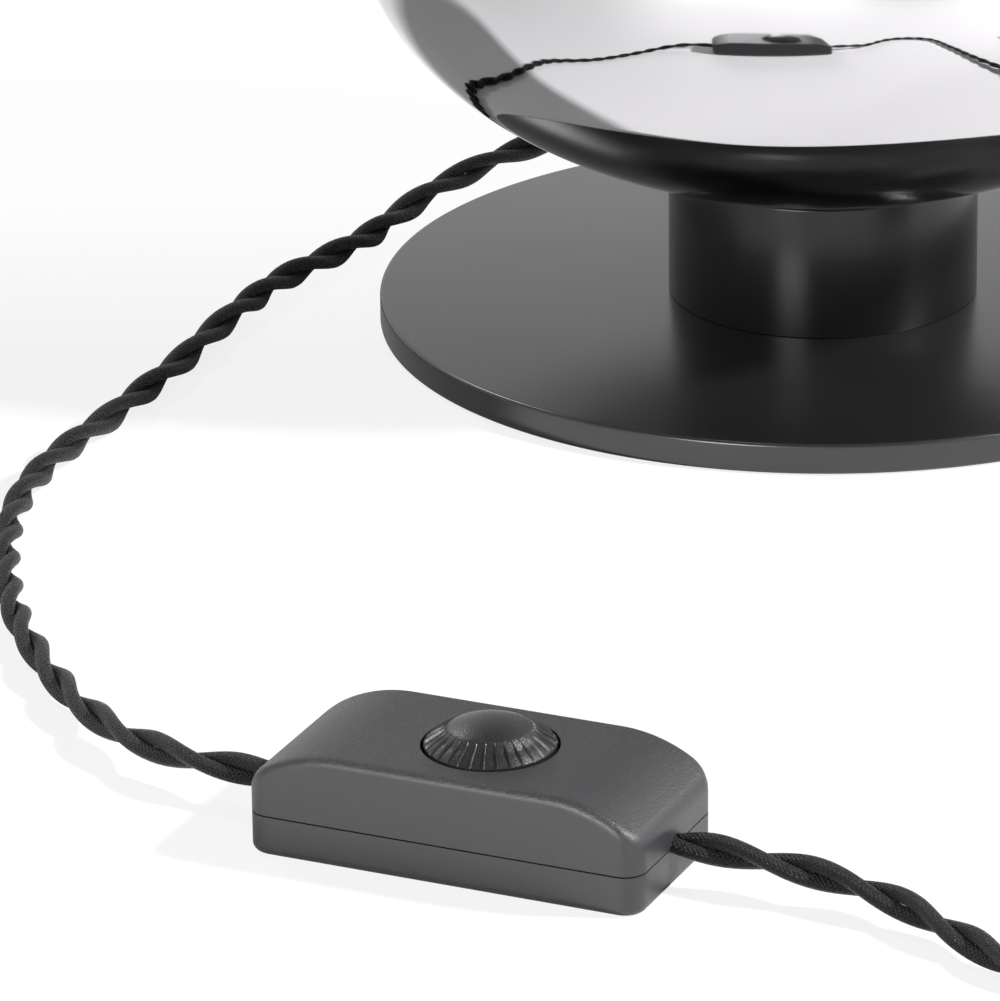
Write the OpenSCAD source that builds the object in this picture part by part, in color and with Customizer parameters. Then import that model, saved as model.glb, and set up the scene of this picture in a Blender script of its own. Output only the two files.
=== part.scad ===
// Table lamp: a mirrored glass globe on a short pedestal and a flat disc base,
// with a twisted textile cord, a rotary in-line dimmer and a flat two-pin plug.
// Millimetres, +Z up, origin at the middle of the face it stands on.

/* [Base] */
// Diameter of the base disc
base_d = 200; // [180:1:220]
// Thickness of the base disc
base_t = 6.8; // [6:0.1:9]
// Rounding of the disc's edges
base_edge_r = 0.8; // [0.4:0.1:1.5]
// Thickness of the foam pad under the disc
pad_t = 1.5; // [1.4:0.1:2.5]
// Depth of the recess that holds the pad
pad_recess = 1.2; // [0.8:0.1:1.2]
// Ring of bare metal left around the pad
pad_margin = 6; // [4:0.5:12]

/* [Pedestal] */
// Outside diameter of the pedestal
pedestal_d = 69.5; // [66:0.5:76]
// Height of the pedestal above the base disc
pedestal_h = 30.2; // [28:0.2:40]
// Wall of the pedestal
pedestal_wall = 2.5; // [2:0.1:3]
// Thickness of the pedestal's floor
web_t = 5; // [4:0.5:6]
// Rounding of the pedestal's outer rim
pedestal_rim_r = 0.5; // [0.3:0.1:0.8]
// Diameter of the circle of screws that hold the pedestal
base_screw_pcd = 46; // [40:1:50]
// Number of screws that hold the pedestal
base_screw_n = 3; // [3:1:6]
// Thickness of the seat ring on the rim
ring_t = 0.8; // [0.6:0.1:1.5]
// Depth of the seat ring's lip inside the pedestal
ring_lip_h = 4; // [2:0.5:5]
// Height of the cord's axis above the pedestal's floor
gland_lift = 6.5; // [6:0.5:8]

/* [Globe] */
// Largest diameter of the globe
globe_d = 210; // [195:1:225]
// Depth of the globe below its widest place
globe_low_h = 64.5; // [60:0.5:72]
// Height of the globe above its widest place
globe_up_h = 86; // [75:0.5:100]
// Fullness of the lower half, 2 is an ellipse
globe_low_full = 2.05; // [2:0.01:2.3]
// Fullness of the upper half, 2 is an ellipse
globe_up_full = 2.1; // [2:0.01:2.3]
// Thickness of the glass
glass_t = 2.6; // [2:0.1:3.5]
// Outside diameter of the globe's neck
neck_d = 58; // [56:0.5:60]
// Length of the neck below the globe
neck_h = 8.5; // [6:0.5:9]

/* [Lamp holder] */
// Outside diameter of the ceramic lamp holder
holder_d = 39; // [37:0.5:41]
// Height of the ceramic lamp holder
holder_h = 40; // [36:0.5:44]
// Thickness of the lamp holder's foot
holder_foot_t = 12; // [11:0.5:14]
// Height of the posts under the lamp holder
post_h = 8; // [7:0.5:10]
// Diameter of the posts under the lamp holder
post_d = 7; // [6:0.5:8]
// Distance between the two posts
post_spacing = 21; // [20:0.5:22]
// Wall of the brass screw shell
shell_wall = 0.7; // [0.5:0.1:0.9]
// Height of the brass screw shell
shell_h = 20; // [16:0.5:22]

/* [Bulb] */
// Diameter of the bulb's glass
bulb_d = 45; // [40:0.5:46]
// Length of the bulb from contact to top
bulb_l = 78; // [74:0.5:84]
// Diameter of the bulb's screw cap
cap_d = 26.2; // [26:0.1:26.4]
// Height of the bulb's screw cap
cap_h = 20; // [18:0.5:22]
// Wall of the bulb's glass and cap
bulb_wall = 0.8; // [0.6:0.1:1]
// Number of lit rods in the bulb
filament_n = 4; // [2:1:6]

/* [Dimmer casing] */
// Length of the dimmer's casing
casing_l = 82; // [80:0.5:90]
// Width of the dimmer's casing
casing_w = 38; // [37:0.5:42]
// Height of the dimmer's casing
casing_h = 22.5; // [22:0.5:25]
// Wall of the dimmer's casing
casing_wall = 2.2; // [1.8:0.1:2.4]
// Radius of the casing's upright corners
casing_corner_r = 4.5; // [3.5:0.5:6]
// Rounding of the casing's long and bottom edges
casing_edge_r = 2; // [1:0.5:2.5]
// Height of the seam between the two shells
seam_h = 8.4; // [8:0.1:9]
// Width of the seam
seam_gap = 0.3; // [0.2:0.05:0.5]
// Length over which the top rolls down to each end
end_run = 19; // [16:0.5:20]
// How far the top drops at each end
end_drop = 7.3; // [5:0.1:8]

/* [Dimmer knob] */
// Diameter of the knob
knob_d = 25.6; // [24:0.1:26]
// Distance of the knob from the casing's middle, along its length
knob_shift = 2.4; // [0:0.1:4]
// Gap around the knob in its hole
knob_gap = 0.7; // [0.5:0.1:1]
// Height of the knob's upright side above the casing
knob_side_h = 0.8; // [0.5:0.1:1.5]
// Height of the knob's ribbed cone
knob_cone_h = 2.9; // [2:0.1:4]
// Diameter of the smooth cap on the knob
knob_cap_d = 15.8; // [14:0.1:18]
// Height of the smooth cap on the knob
knob_cap_h = 1.8; // [1:0.1:2.5]
// Number of grooves around the knob
knob_groove_n = 36; // [24:2:40]
// Width of a groove
knob_groove_w = 0.9; // [0.6:0.1:1]
// Diameter of the potentiometer's shaft
shaft_d = 6; // [5:0.5:6]

/* [Cord] */
// Diameter around the two twisted strands
cord_d = 7.2; // [6.6:0.1:7.4]
// Radius of the coil's outer turn
coil_r = 48; // [46:0.5:50]
// Step from one turn of the coil to the next
coil_step = 8; // [7.8:0.1:8.4]
// Space between the coil's two layers
layer_gap = 0.6; // [0.5:0.1:1]
// Width of the strap that ties the coil
tie_w = 12; // [8:0.5:16]
// Thickness of the strap that ties the coil
tie_t = 0.8; // [0.6:0.1:1]

/* [Plug] */
// Width of the plug's body
plug_w = 35.3; // [34:0.1:36]
// Thickness of the plug's body
plug_t = 13.7; // [13:0.1:14]
// Length of the plug's body
plug_l = 30; // [26:0.5:34]
// Length of the plug's tapered sleeve
plug_sleeve_l = 22; // [20:0.5:30]
// Diameter of a plug pin
pin_d = 4; // [3.9:0.05:4]
// Length of a plug pin
pin_l = 19; // [18:0.5:20]
// Distance between the plug pins
pin_spacing = 18.6; // [18:0.1:19]

/* [Layout] */
// Place of the dimmer's middle, across
dimmer_x = -78; // [-90:0.5:-70]
// Place of the dimmer's middle, front to back
dimmer_y = -293.5; // [-300:0.5:-285]
// Turn of the dimmer about the upright axis
dimmer_turn = -24.3; // [-30:0.1:-20]
// Place of the coil's middle, across
coil_x = 160; // [158:0.5:166]
// Place of the coil's middle, front to back
coil_y = -150; // [-155:0.5:-146]

/* [Hidden] */
$fn = 64;

// Clearances
fit = 0.1;
running_fit = 0.05;
loose_fit = 0.2;
seat_clear = 0.3;
eps = 0.01;

// Heights of the lamp's stack
base_z = pad_t - pad_recess;
base_top = base_z + base_t;
web_top = base_top + web_t;
rim_z = base_top + pedestal_h;
ring_top = rim_z + ring_t;
holder_z = web_top + post_h;
cup_floor = holder_z + holder_foot_t;
gland_z = web_top + gland_lift;

// Radii of the pedestal, its seat ring and the globe's neck
pedestal_r = pedestal_d / 2;
pedestal_in_r = pedestal_r - pedestal_wall;
neck_r = neck_d / 2;
neck_gap = 0.6;
ring_in_r = neck_r + neck_gap;
ring_flange_r = pedestal_in_r - 0.8;

// Globe, whose underside just clears the seat ring's inner edge
globe_a = globe_d / 2;
function low_sag(r) = globe_low_h * (1 - pow(1 - pow(r / globe_a, globe_low_full), 1 / globe_low_full));
globe_bottom = ring_top + seat_clear - low_sag(ring_flange_r);
globe_mid = globe_bottom + globe_low_h;
neck_bottom = globe_bottom + low_sag(neck_r) - neck_h;
globe_low_steps = 28;
globe_up_steps = 26;

// Countersunk screws through the base
base_screw_d = 4;
base_screw_head_d = 7.6;
base_screw_head_h = 2.1;
base_screw_tip = 0.6;
base_screw_turn = 30;

// Strain relief sleeve in the pedestal's back wall
spigot_d = 10;
spigot_in = 7;
sleeve_flange_d = 14;
sleeve_flange_t = 2.5;
sleeve_d = 12;
sleeve_tip_d = 9.6;
sleeve_l = 20;
sleeve_tip_y = pedestal_r + sleeve_flange_t + sleeve_l;
nut_af = 13;
nut_t = 3;
nut_back = 1.6;

// Small fasteners and terminals of the lamp holder
m3_d = 3;
m3_head_d = 5.5;
m3_head_h = 2.6;
m3_grip = 5;
terminal_w = 7;
terminal_h = 6;
terminal_y = 12;
terminal_screw_d = 3;
terminal_screw_l = 3;
terminal_head_h = 1.2;
lead_d = 2.4;
contact_t = 0.8;
contact_rise = 1.4;
shell_lift = 2;
thread_gap = 0.4;
shell_r = cap_d / 2 + thread_gap + shell_wall;
holder_bore_d = 2 * shell_r + 2 * fit;

// Bulb, standing on the centre contact
bulb_tip_r = 4.5;
bulb_tip_h = 1.6;
insulator_h = 2.4;
insulator_r = 9.5;
bulb_z = cup_floor + contact_t + contact_rise + loose_fit;
cap_z = bulb_z + bulb_tip_h + insulator_h;
cap_top = cap_z + cap_h;
bulb_r = bulb_d / 2;
bulb_mid = bulb_z + bulb_l - bulb_r;
bulb_neck_r = 12;
bulb_waist_r = 14;
stem_r = 3;
stem_flare_r = 8;
stem_top = bulb_mid + 2;
filament_d = 1.8;
filament_r = 8;
filament_h = 26;
wire_d = 0.9;

// Dimmer casing and what it holds
end_arc_r = (pow(end_run, 2) + pow(end_drop, 2)) / (2 * end_drop);
flat_half = casing_l / 2 - end_run;
cord_hole_d = cord_d + 2 * loose_fit;
board_l = 52;
board_w = 26;
board_t = 1.6;
board_z = 4.6;
board_top = board_z + board_t;
board_post_d = 4;
board_post_inset = 4;
casing_screw_x = casing_l / 2 - 8;
casing_screw_y = casing_w / 2 - 6.5;
casing_boss_d = 6.4;
m25_d = 2.5;
m25_head_d = 4.5;
m25_head_h = 1.5;
clamp_x = casing_l / 2 - 9;
clamp_screw_y = cord_d / 2 + 2.7;
clamp_post_d = 4.8;
clamp_w = 6;
clamp_t = 2.4;
clamp_l = 2 * clamp_screw_y + 4.6;
clamp_screw_l = 7;
saddle_w = 5;
cord_end_x = clamp_x - 4;
pot_d = 16;
pot_h = 6.6;
bushing_d = 9;
bushing_h = 3;
bushing_top = board_top + pot_h + bushing_h;
shaft_seat = board_top + 2;
choke_d = 11;
choke_wire_d = 4.4;
block_l = 7;
block_w = 14;
block_h = 7.5;
block_x = 21;
strand_y = 1.6;
capacitor_at = [-16.5, -10];
capacitor_size = [8, 6, 9];
choke_at = [-11.5, 5];
triac_at = [11.5, 5];
triac_size = [5, 4.4, 9];
sink_w = 9;
sink_t = 1.2;

// Knob heights, from the casing's top face
knob_flange_t = 1;
knob_flange_r = knob_d / 2 + 1.7;
knob_under = casing_h - casing_wall - 0.4;
knob_bottom = knob_under - knob_flange_t;
knob_cone_z = casing_h + knob_side_h;
knob_cap_z = knob_cone_z + knob_cone_h;
knob_top = knob_cap_z + knob_cap_h;
knob_cap_arc = (pow(knob_cap_d / 2, 2) + pow(knob_cap_h, 2)) / (2 * knob_cap_h);
knob_hub_d = 10;
knob_hub_z = bushing_top + seat_clear;
shaft_top = knob_cap_z - 1;

// Coil: in along the lower layer, a climbing half turn, out along the upper layer
coil_start_turn = 180;
coil_turn_steps = 24;
coil_run_steps = 36;
coil_climb_steps = 12;
coil_steps = 2 * coil_run_steps + coil_climb_steps;
tie_clear = 0.4;
coil_low_z = cord_d / 2 + tie_t + tie_clear;
coil_high_z = coil_low_z + cord_d + layer_gap;
coil_in_r = coil_r - coil_step * coil_run_steps / coil_turn_steps;
tail_l = 70;
plug_x = coil_x + coil_r;
plug_y = coil_y - tail_l;
plug_z = plug_t / 2;
tie_r = 2.5;

// Points of the cord between lamp and dimmer, chosen along its way round the base
lamp_route = [
    [-1, 70, 16], [-4, 83, 12.6], [-9, 96, 11.3], [-18, 108, 10],
    [-31, 117, 6.8], [-46, 119, 4.4], [-60, 113.5, 3.8], [-71, 103, 3.8], [-80, 91, 3.8],
    [-89, 77, 3.8], [-96.5, 61, 3.8], [-104, 45.5, 3.8], [-113, 32, 3.8], [-122.5, 18.5, 3.8],
    [-130.5, 2, 3.8], [-137.5, -15.5, 3.8], [-144, -34, 3.8], [-151.5, -52, 3.8],
    [-159, -69.5, 3.8], [-166.5, -85.5, 3.8], [-172.5, -102, 3.8], [-176, -120, 3.8],
    [-177, -139, 3.8], [-176, -158, 3.8], [-173.5, -177, 3.8], [-169, -196, 3.8],
    [-163, -215, 4], [-156, -233, 4.8], [-147.5, -249.5, 6.2], [-136, -264, 7.6]
];
// Points of the cord between dimmer and coil
plug_route = [
    [-16, -321.7, 7.4], [-5, -327.5, 6.2], [4, -335.5, 5.2], [12, -345.5, 4.5], [19, -355, 4],
    [30, -365.5, 3.8], [45, -372.5, 3.8], [61, -374, 3.8], [77, -370, 3.8], [91, -361.5, 3.8],
    [101.5, -349, 3.8], [107, -334, 3.8], [109, -318, 3.8], [110, -302, 3.8], [111, -285, 3.8],
    [112, -267, 3.8], [112, -249, 3.8], [112, -231, 3.9], [112, -212, 4.2], [112, -193, 4.6]
];
// Points of the coil's tail, as steps from the coil's side to the plug's sleeve
tail_steps = [[12, 1], [27, 0.8], [42, 0.3], [55, 0.02], [tail_l - 7.2, 0], [tail_l, 0]];
cord_sides = 10;
coil_sides = 6;
lead_sides = 8;

function on_dimmer(x, y, z) = [
    dimmer_x + x * cos(dimmer_turn) - y * sin(dimmer_turn),
    dimmer_y + x * sin(dimmer_turn) + y * cos(dimmer_turn),
    z
];
function coil_angle(i) = coil_start_turn - 360 * i / coil_turn_steps;
coil_half_climb = coil_climb_steps / 2;
function coil_dip(i) = coil_half_climb - abs(i - coil_run_steps - coil_half_climb);
function coil_radius(i) =
    i <= coil_run_steps ? coil_r - coil_step * i / coil_turn_steps
    : i <= coil_run_steps + coil_climb_steps ? coil_in_r - coil_step * coil_dip(i) / coil_turn_steps
    : coil_in_r + coil_step * (i - coil_run_steps - coil_climb_steps) / coil_turn_steps;
function coil_share(i) = min(1, max(0, (i - coil_run_steps) / coil_climb_steps));
function coil_height(i) =
    coil_low_z + (coil_high_z - coil_low_z) * (1 - cos(180 * coil_share(i))) / 2;
function coil_point(i) = [
    coil_x + coil_radius(i) * cos(coil_angle(i)),
    coil_y + coil_radius(i) * sin(coil_angle(i)),
    coil_height(i)
];
coil_heading = [sin(coil_start_turn), -cos(coil_start_turn), 0];
coil_lead_in = coil_point(0) - cord_d * coil_heading;

cord_lamp_path = concat(
    [for (y = [pedestal_in_r - spigot_in, pedestal_r + 6, sleeve_tip_y + 1]) [0, y, gland_z]],
    lamp_route,
    [
        on_dimmer(-casing_l / 2 - 8, 0, seam_h),
        on_dimmer(-casing_l / 2, 0, seam_h),
        on_dimmer(-cord_end_x, 0, seam_h)
    ]
);
cord_plug_path = concat(
    [
        on_dimmer(cord_end_x, 0, seam_h),
        on_dimmer(casing_l / 2, 0, seam_h),
        on_dimmer(casing_l / 2 + 8, 0, seam_h)
    ],
    plug_route,
    [coil_lead_in - 2 * cord_d * coil_heading, coil_lead_in]
);
cord_coil_path = concat(
    [coil_lead_in],
    [for (i = [0:coil_steps]) coil_point(i)],
    [for (s = tail_steps) [plug_x, coil_y - s[0], plug_z + s[1] * (coil_high_z - plug_z)]]
);

function path_length(p) = len(p) < 2 ? 0 : sum_steps(p, len(p) - 1);
function sum_steps(p, i) = i == 0 ? 0 : norm(p[i] - p[i - 1]) + sum_steps(p, i - 1);
coil_half_turn = coil_turn_steps / 2;
coil_gap = min([
    for (i = [0:len(cord_coil_path) - 1])
        for (j = [i + coil_half_turn:1:len(cord_coil_path) - 1])
            norm(cord_coil_path[i] - cord_coil_path[j])
]) - cord_d;
echo(coil_least_gap = coil_gap);
echo(lamp_side_length = path_length(cord_lamp_path));
echo(plug_side_length = path_length(cord_plug_path) + path_length(cord_coil_path));

// A round tube along a path, with one ring at each point
function along(p, i) = p[min(i + 1, len(p) - 1)] - p[max(i - 1, 0)];
function unit(v) = v / norm(v);
function ring_point(p, i, angle, r, up) =
    let (t = unit(along(p, i)), side = unit(cross(t, up)), top = cross(side, t))
    p[i] + r * (cos(angle) * side + sin(angle) * top);
module tube(path, d, sides, up = [0, 0, 1]) {
    rings = len(path);
    last = (rings - 1) * sides;
    polyhedron(
        points = [
            for (i = [0:rings - 1])
                for (k = [0:sides - 1])
                    ring_point(path, i, 360 * k / sides, d / 2, up)
        ],
        faces = concat(
            [for (k = [1:sides - 2]) [0, k, k + 1]],
            [
                for (i = [0:rings - 2])
                    for (k = [0:sides - 1])
                        [i * sides + k, (i + 1) * sides + k, i * sides + (k + 1) % sides]
            ],
            [
                for (i = [0:rings - 2])
                    for (k = [0:sides - 1])
                        [
                            i * sides + (k + 1) % sides,
                            (i + 1) * sides + k,
                            (i + 1) * sides + (k + 1) % sides
                        ]
            ],
            [for (k = [1:sides - 2]) [last, last + k + 1, last + k]]
        )
    );
}

// A rectangle with round corners, about the origin
module rounded_rect(w, h, r) {
    square([w - 2 * r, h], center = true);
    square([w, h - 2 * r], center = true);
    for (x = [-1, 1])
        for (y = [-1, 1])
            translate([x * (w / 2 - r), y * (h / 2 - r)]) circle(r, $fn = 32);
}

// A straight screw with a cylinder head, pointing down from the origin
module cap_screw(d, l, head_d, head_h) {
    cylinder(d = head_d, h = head_h);
    translate([0, 0, -l]) cylinder(d = d, h = l);
}

module at_dimmer() {
    translate([dimmer_x, dimmer_y, 0]) rotate([0, 0, dimmer_turn]) children();
}

module around_base_screws() {
    for (k = [0:base_screw_n - 1])
        rotate([0, 0, base_screw_turn + k * 360 / base_screw_n])
            translate([base_screw_pcd / 2, 0, 0]) children();
}

// A countersunk screw from the pad's upper face into the pedestal's floor
module base_screw(clear) {
    head_r = base_screw_head_d / 2 + clear;
    shank_r = base_screw_d / 2 + clear;
    tip_z = web_top - base_screw_tip + clear;
    translate([0, 0, pad_t]) cylinder(r1 = head_r, r2 = shank_r, h = base_screw_head_h);
    translate([0, 0, pad_t]) cylinder(r = shank_r, h = tip_z - pad_t);
}

// The flat disc, with a recess underneath for the pad
module base_plate() {
    color([0.05, 0.05, 0.055])
    difference() {
        translate([0, 0, base_z]) rotate_extrude() {
            square([base_d / 2 - base_edge_r, base_t]);
            translate([0, base_edge_r]) square([base_d / 2, base_t - 2 * base_edge_r]);
            for (z = [base_edge_r, base_t - base_edge_r])
                translate([base_d / 2 - base_edge_r, z]) circle(base_edge_r, $fn = 32);
        }
        translate([0, 0, -eps]) cylinder(d = base_d - 2 * pad_margin, h = pad_t + eps);
        around_base_screws() base_screw(fit);
    }
}

module base_pad() {
    color([0.08, 0.08, 0.08])
    cylinder(d = base_d - 2 * pad_margin - 2 * loose_fit, h = pad_t);
}

module base_screws() {
    color([0.6, 0.6, 0.62])
    around_base_screws() base_screw(0);
}

// A turned cup that stands on the disc, open at the top
module pedestal() {
    color([0.06, 0.06, 0.065])
    difference() {
        translate([0, 0, base_top]) rotate_extrude() {
            square([pedestal_r, pedestal_h - pedestal_rim_r]);
            square([pedestal_r - pedestal_rim_r, pedestal_h]);
            translate([pedestal_r - pedestal_rim_r, pedestal_h - pedestal_rim_r])
                circle(pedestal_rim_r, $fn = 24);
        }
        translate([0, 0, web_top]) cylinder(r = pedestal_in_r, h = pedestal_h);
        around_base_screws() base_screw(running_fit);
        for (x = [-1, 1])
            translate([x * post_spacing / 2, 0, base_top - eps])
                cylinder(d = m3_d + 2 * running_fit, h = web_t + 2 * eps);
        translate([0, 0, gland_z]) rotate([-90, 0, 0])
            cylinder(d = spigot_d + 2 * fit, h = pedestal_r + 1);
    }
}

// Soft ring on the rim, with a lip that centres the globe's neck
module seat_ring() {
    rim_w = pedestal_r - pedestal_rim_r - ring_flange_r;
    color([0.1, 0.1, 0.1])
    rotate_extrude() {
        translate([ring_in_r, rim_z - ring_lip_h])
            square([pedestal_in_r - fit - ring_in_r, ring_lip_h]);
        translate([ring_flange_r, rim_z]) square([rim_w, ring_t]);
    }
}

// Tapered sleeve that the cord leaves the pedestal through
module cord_sleeve() {
    color([0.07, 0.07, 0.07])
    translate([0, 0, gland_z]) difference() {
        rotate([-90, 0, 0]) {
            translate([0, 0, pedestal_in_r - spigot_in])
                cylinder(d = spigot_d, h = pedestal_wall + spigot_in);
            difference() {
                translate([0, 0, pedestal_in_r])
                    cylinder(d = sleeve_flange_d, h = pedestal_wall + sleeve_flange_t);
                rotate([90, 0, 0])
                    cylinder(r = pedestal_r + running_fit, h = 2 * sleeve_flange_d, center = true);
            }
            translate([0, 0, pedestal_r + sleeve_flange_t])
                cylinder(d1 = sleeve_d, d2 = sleeve_tip_d, h = sleeve_l);
        }
        rotate([-90, 0, 0]) cylinder(d = cord_hole_d, h = sleeve_tip_y + 1);
    }
}

module sleeve_nut() {
    color([0.55, 0.55, 0.57])
    translate([0, pedestal_in_r - nut_back, gland_z]) rotate([90, 0, 0]) difference() {
        cylinder(d = nut_af / cos(30), h = nut_t, $fn = 6);
        translate([0, 0, -eps]) cylinder(d = spigot_d + 2 * fit, h = nut_t + 2 * eps);
    }
}

// Ceramic lamp holder: a deep cup on a foot, with pockets for the terminals
module holder_body() {
    pocket_w = terminal_w + 2 * loose_fit;
    color([0.9, 0.89, 0.85])
    translate([0, 0, holder_z]) difference() {
        cylinder(d = holder_d, h = holder_h);
        translate([0, 0, holder_foot_t]) cylinder(d = holder_bore_d, h = holder_h);
        for (x = [-1, 1]) translate([x * post_spacing / 2, 0, 0]) {
            translate([0, 0, -eps]) cylinder(d = m3_d + 2 * fit, h = holder_foot_t + 1);
            translate([0, 0, holder_foot_t - m3_head_h - fit])
                cylinder(d = m3_head_d + 2 * loose_fit, h = holder_h);
        }
        for (y = [-1, 1])
            translate([-pocket_w / 2, y * terminal_y - pocket_w / 2, -eps])
                cube([pocket_w, pocket_w, terminal_h + loose_fit]);
    }
}

module holder_posts() {
    color([0.75, 0.68, 0.4])
    for (x = [-1, 1])
        translate([x * post_spacing / 2, 0, web_top]) difference() {
            cylinder(d = post_d, h = post_h);
            translate([0, 0, -eps]) cylinder(d = m3_d + 2 * running_fit, h = post_h + 2 * eps);
        }
}

module holder_screws() {
    head_z = cup_floor - m3_head_h;
    color([0.6, 0.6, 0.62])
    for (x = [-1, 1])
        translate([x * post_spacing / 2, 0, head_z])
            cap_screw(m3_d, head_z - web_top + m3_grip - 1, m3_head_d, m3_head_h);
}

// Brass sleeve that takes the bulb's screw cap
module screw_shell() {
    color([0.8, 0.65, 0.3])
    translate([0, 0, cup_floor + shell_lift]) difference() {
        cylinder(r = shell_r, h = shell_h);
        translate([0, 0, -eps]) cylinder(r = shell_r - shell_wall, h = shell_h + 2 * eps);
    }
}

// Bent strip that meets the bulb's tip
module centre_contact() {
    strip_w = 5;
    strip_l = 9;
    color([0.8, 0.6, 0.35])
    translate([0, strip_w / 2, cup_floor]) rotate([90, 0, 0]) linear_extrude(strip_w)
        polygon([
            [-strip_l / 2, 0], [strip_l / 2, 0], [strip_l / 2, contact_t],
            [bulb_tip_r - 1, contact_t + contact_rise], [-bulb_tip_r + 1, contact_t + contact_rise],
            [-strip_l / 2, contact_t]
        ]);
}

module holder_terminals() {
    color([0.8, 0.65, 0.3])
    for (y = [-1, 1])
        translate([-terminal_w / 2, y * terminal_y - terminal_w / 2, holder_z]) difference() {
            cube([terminal_w, terminal_w, terminal_h]);
            translate([terminal_w / 2 + 2, terminal_w / 2, -eps])
                cylinder(d = terminal_screw_d - 1 + 2 * fit, h = terminal_screw_l + fit);
        }
}

module terminal_screws() {
    color([0.6, 0.6, 0.62])
    for (y = [-1, 1])
        translate([2, y * terminal_y, holder_z]) mirror([0, 0, 1])
            cap_screw(terminal_screw_d - 1, terminal_screw_l, terminal_screw_d, terminal_head_h);
}

// Two insulated wires from the cord's end to the lamp holder's terminals
module inner_leads() {
    start_y = pedestal_in_r - spigot_in;
    drop = web_top + lead_d;
    color([0.4, 0.22, 0.12])
    tube(
        [
            [strand_y, start_y, gland_z], [strand_y, start_y - 2, gland_z],
            [1, start_y - 6, gland_z - 2], [-1, terminal_y + 2, drop + 0.6],
            [-1.5, terminal_y, drop + 2.4], [-1.5, terminal_y, holder_z]
        ],
        lead_d, lead_sides, [1, 0, 0]
    );
    color([0.15, 0.25, 0.5])
    tube(
        [
            [-strand_y, start_y, gland_z], [-strand_y, start_y - 2, gland_z],
            [-3, start_y - 6, gland_z - 2.4], [-4.6, terminal_y + 2, drop + 0.6], [-4.6, 0, drop],
            [-4, 3 - terminal_y, drop], [-1.5, -terminal_y, drop + 2.4],
            [-1.5, -terminal_y, holder_z]
        ],
        lead_d, lead_sides, [1, 0, 0]
    );
}

// Half profiles of the globe, from the neck to the widest place and on to the top
function low_curve(r0, a, b) = [
    let (t0 = asin(pow(r0 / a, globe_low_full / 2)))
    for (i = [0:globe_low_steps])
        let (t = t0 + (90 - t0) * i / globe_low_steps)
        [a * pow(sin(t), 2 / globe_low_full), globe_mid - b * pow(cos(t), 2 / globe_low_full)]
];
function up_curve(a, b) = [
    for (i = [1:globe_up_steps])
        let (t = 90 * i / globe_up_steps)
        [a * pow(max(0, cos(t)), 2 / globe_up_full), globe_mid + b * pow(sin(t), 2 / globe_up_full)]
];
function backwards(p) = [for (i = [len(p) - 1:-1:0]) p[i]];

// Blown glass globe with a short neck
module globe_glass() {
    outer = concat(low_curve(neck_r, globe_a, globe_low_h), up_curve(globe_a, globe_up_h));
    inner = concat(
        low_curve(neck_r - glass_t, globe_a - glass_t, globe_low_h - glass_t),
        up_curve(globe_a - glass_t, globe_up_h - glass_t)
    );
    color([0.55, 0.55, 0.57])
    rotate_extrude($fn = 96)
        polygon(concat(
            [[neck_r - glass_t, neck_bottom], [neck_r, neck_bottom]],
            outer,
            backwards(inner)
        ));
}

// Bulb glass: a ball that runs down into the cap
module bulb_glass() {
    waist = asin(bulb_waist_r / bulb_r);
    ball = [
        for (i = [0:16])
            let (t = 180 - waist - (180 - waist) * i / 16)
            [sin(t), cos(t)]
    ];
    color([0.95, 0.95, 0.92, 0.6])
    rotate_extrude()
        polygon(concat(
            [[bulb_neck_r - bulb_wall, cap_top], [bulb_neck_r, cap_top]],
            [for (p = ball) [bulb_r * p[0], bulb_mid + bulb_r * p[1]]],
            backwards([
                for (p = ball)
                    [(bulb_r - bulb_wall) * p[0], bulb_mid + (bulb_r - bulb_wall) * p[1]]
            ])
        ));
}

module bulb_cap() {
    cap_r = cap_d / 2;
    color([0.75, 0.75, 0.77])
    difference() {
        translate([0, 0, cap_z]) cylinder(r = cap_r, h = cap_h);
        translate([0, 0, cap_z - eps]) cylinder(r = cap_r - bulb_wall, h = cap_h - bulb_wall + eps);
        translate([0, 0, cap_z]) cylinder(r = bulb_neck_r - bulb_wall, h = cap_h + eps);
    }
}

module bulb_insulator() {
    foot = bulb_z + bulb_tip_h;
    color([0.05, 0.05, 0.06])
    translate([0, 0, foot]) {
        cylinder(r1 = bulb_tip_r + 1, r2 = insulator_r, h = insulator_h);
        translate([0, 0, insulator_h]) cylinder(r = cap_d / 2 - bulb_wall - fit, h = 2);
    }
}

module bulb_contact() {
    color([0.7, 0.68, 0.6])
    translate([0, 0, bulb_z]) cylinder(r1 = bulb_tip_r - 1, r2 = bulb_tip_r, h = bulb_tip_h);
}

module bulb_stem() {
    foot = bulb_z + bulb_tip_h + insulator_h + 2;
    color([0.9, 0.93, 0.95, 0.6])
    rotate_extrude()
        polygon([
            [0, foot], [stem_flare_r, foot], [stem_flare_r, foot + 2], [stem_r, cap_top + 4],
            [stem_r, stem_top - 2], [0, stem_top]
        ]);
}

// Lit rods on two wire crosses, held by the stem
module bulb_filaments() {
    low = bulb_mid - filament_h / 2;
    color([0.95, 0.8, 0.35])
    for (k = [0:filament_n - 1]) rotate([0, 0, k * 360 / filament_n]) {
        translate([filament_r, 0, low]) cylinder(d = filament_d, h = filament_h, $fn = 16);
        for (z = [low + wire_d, stem_top - 4 * wire_d])
            translate([stem_r + running_fit, 0, z]) rotate([0, 90, 0])
                cylinder(d = wire_d, h = filament_r - stem_r, $fn = 16);
    }
}

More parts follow.
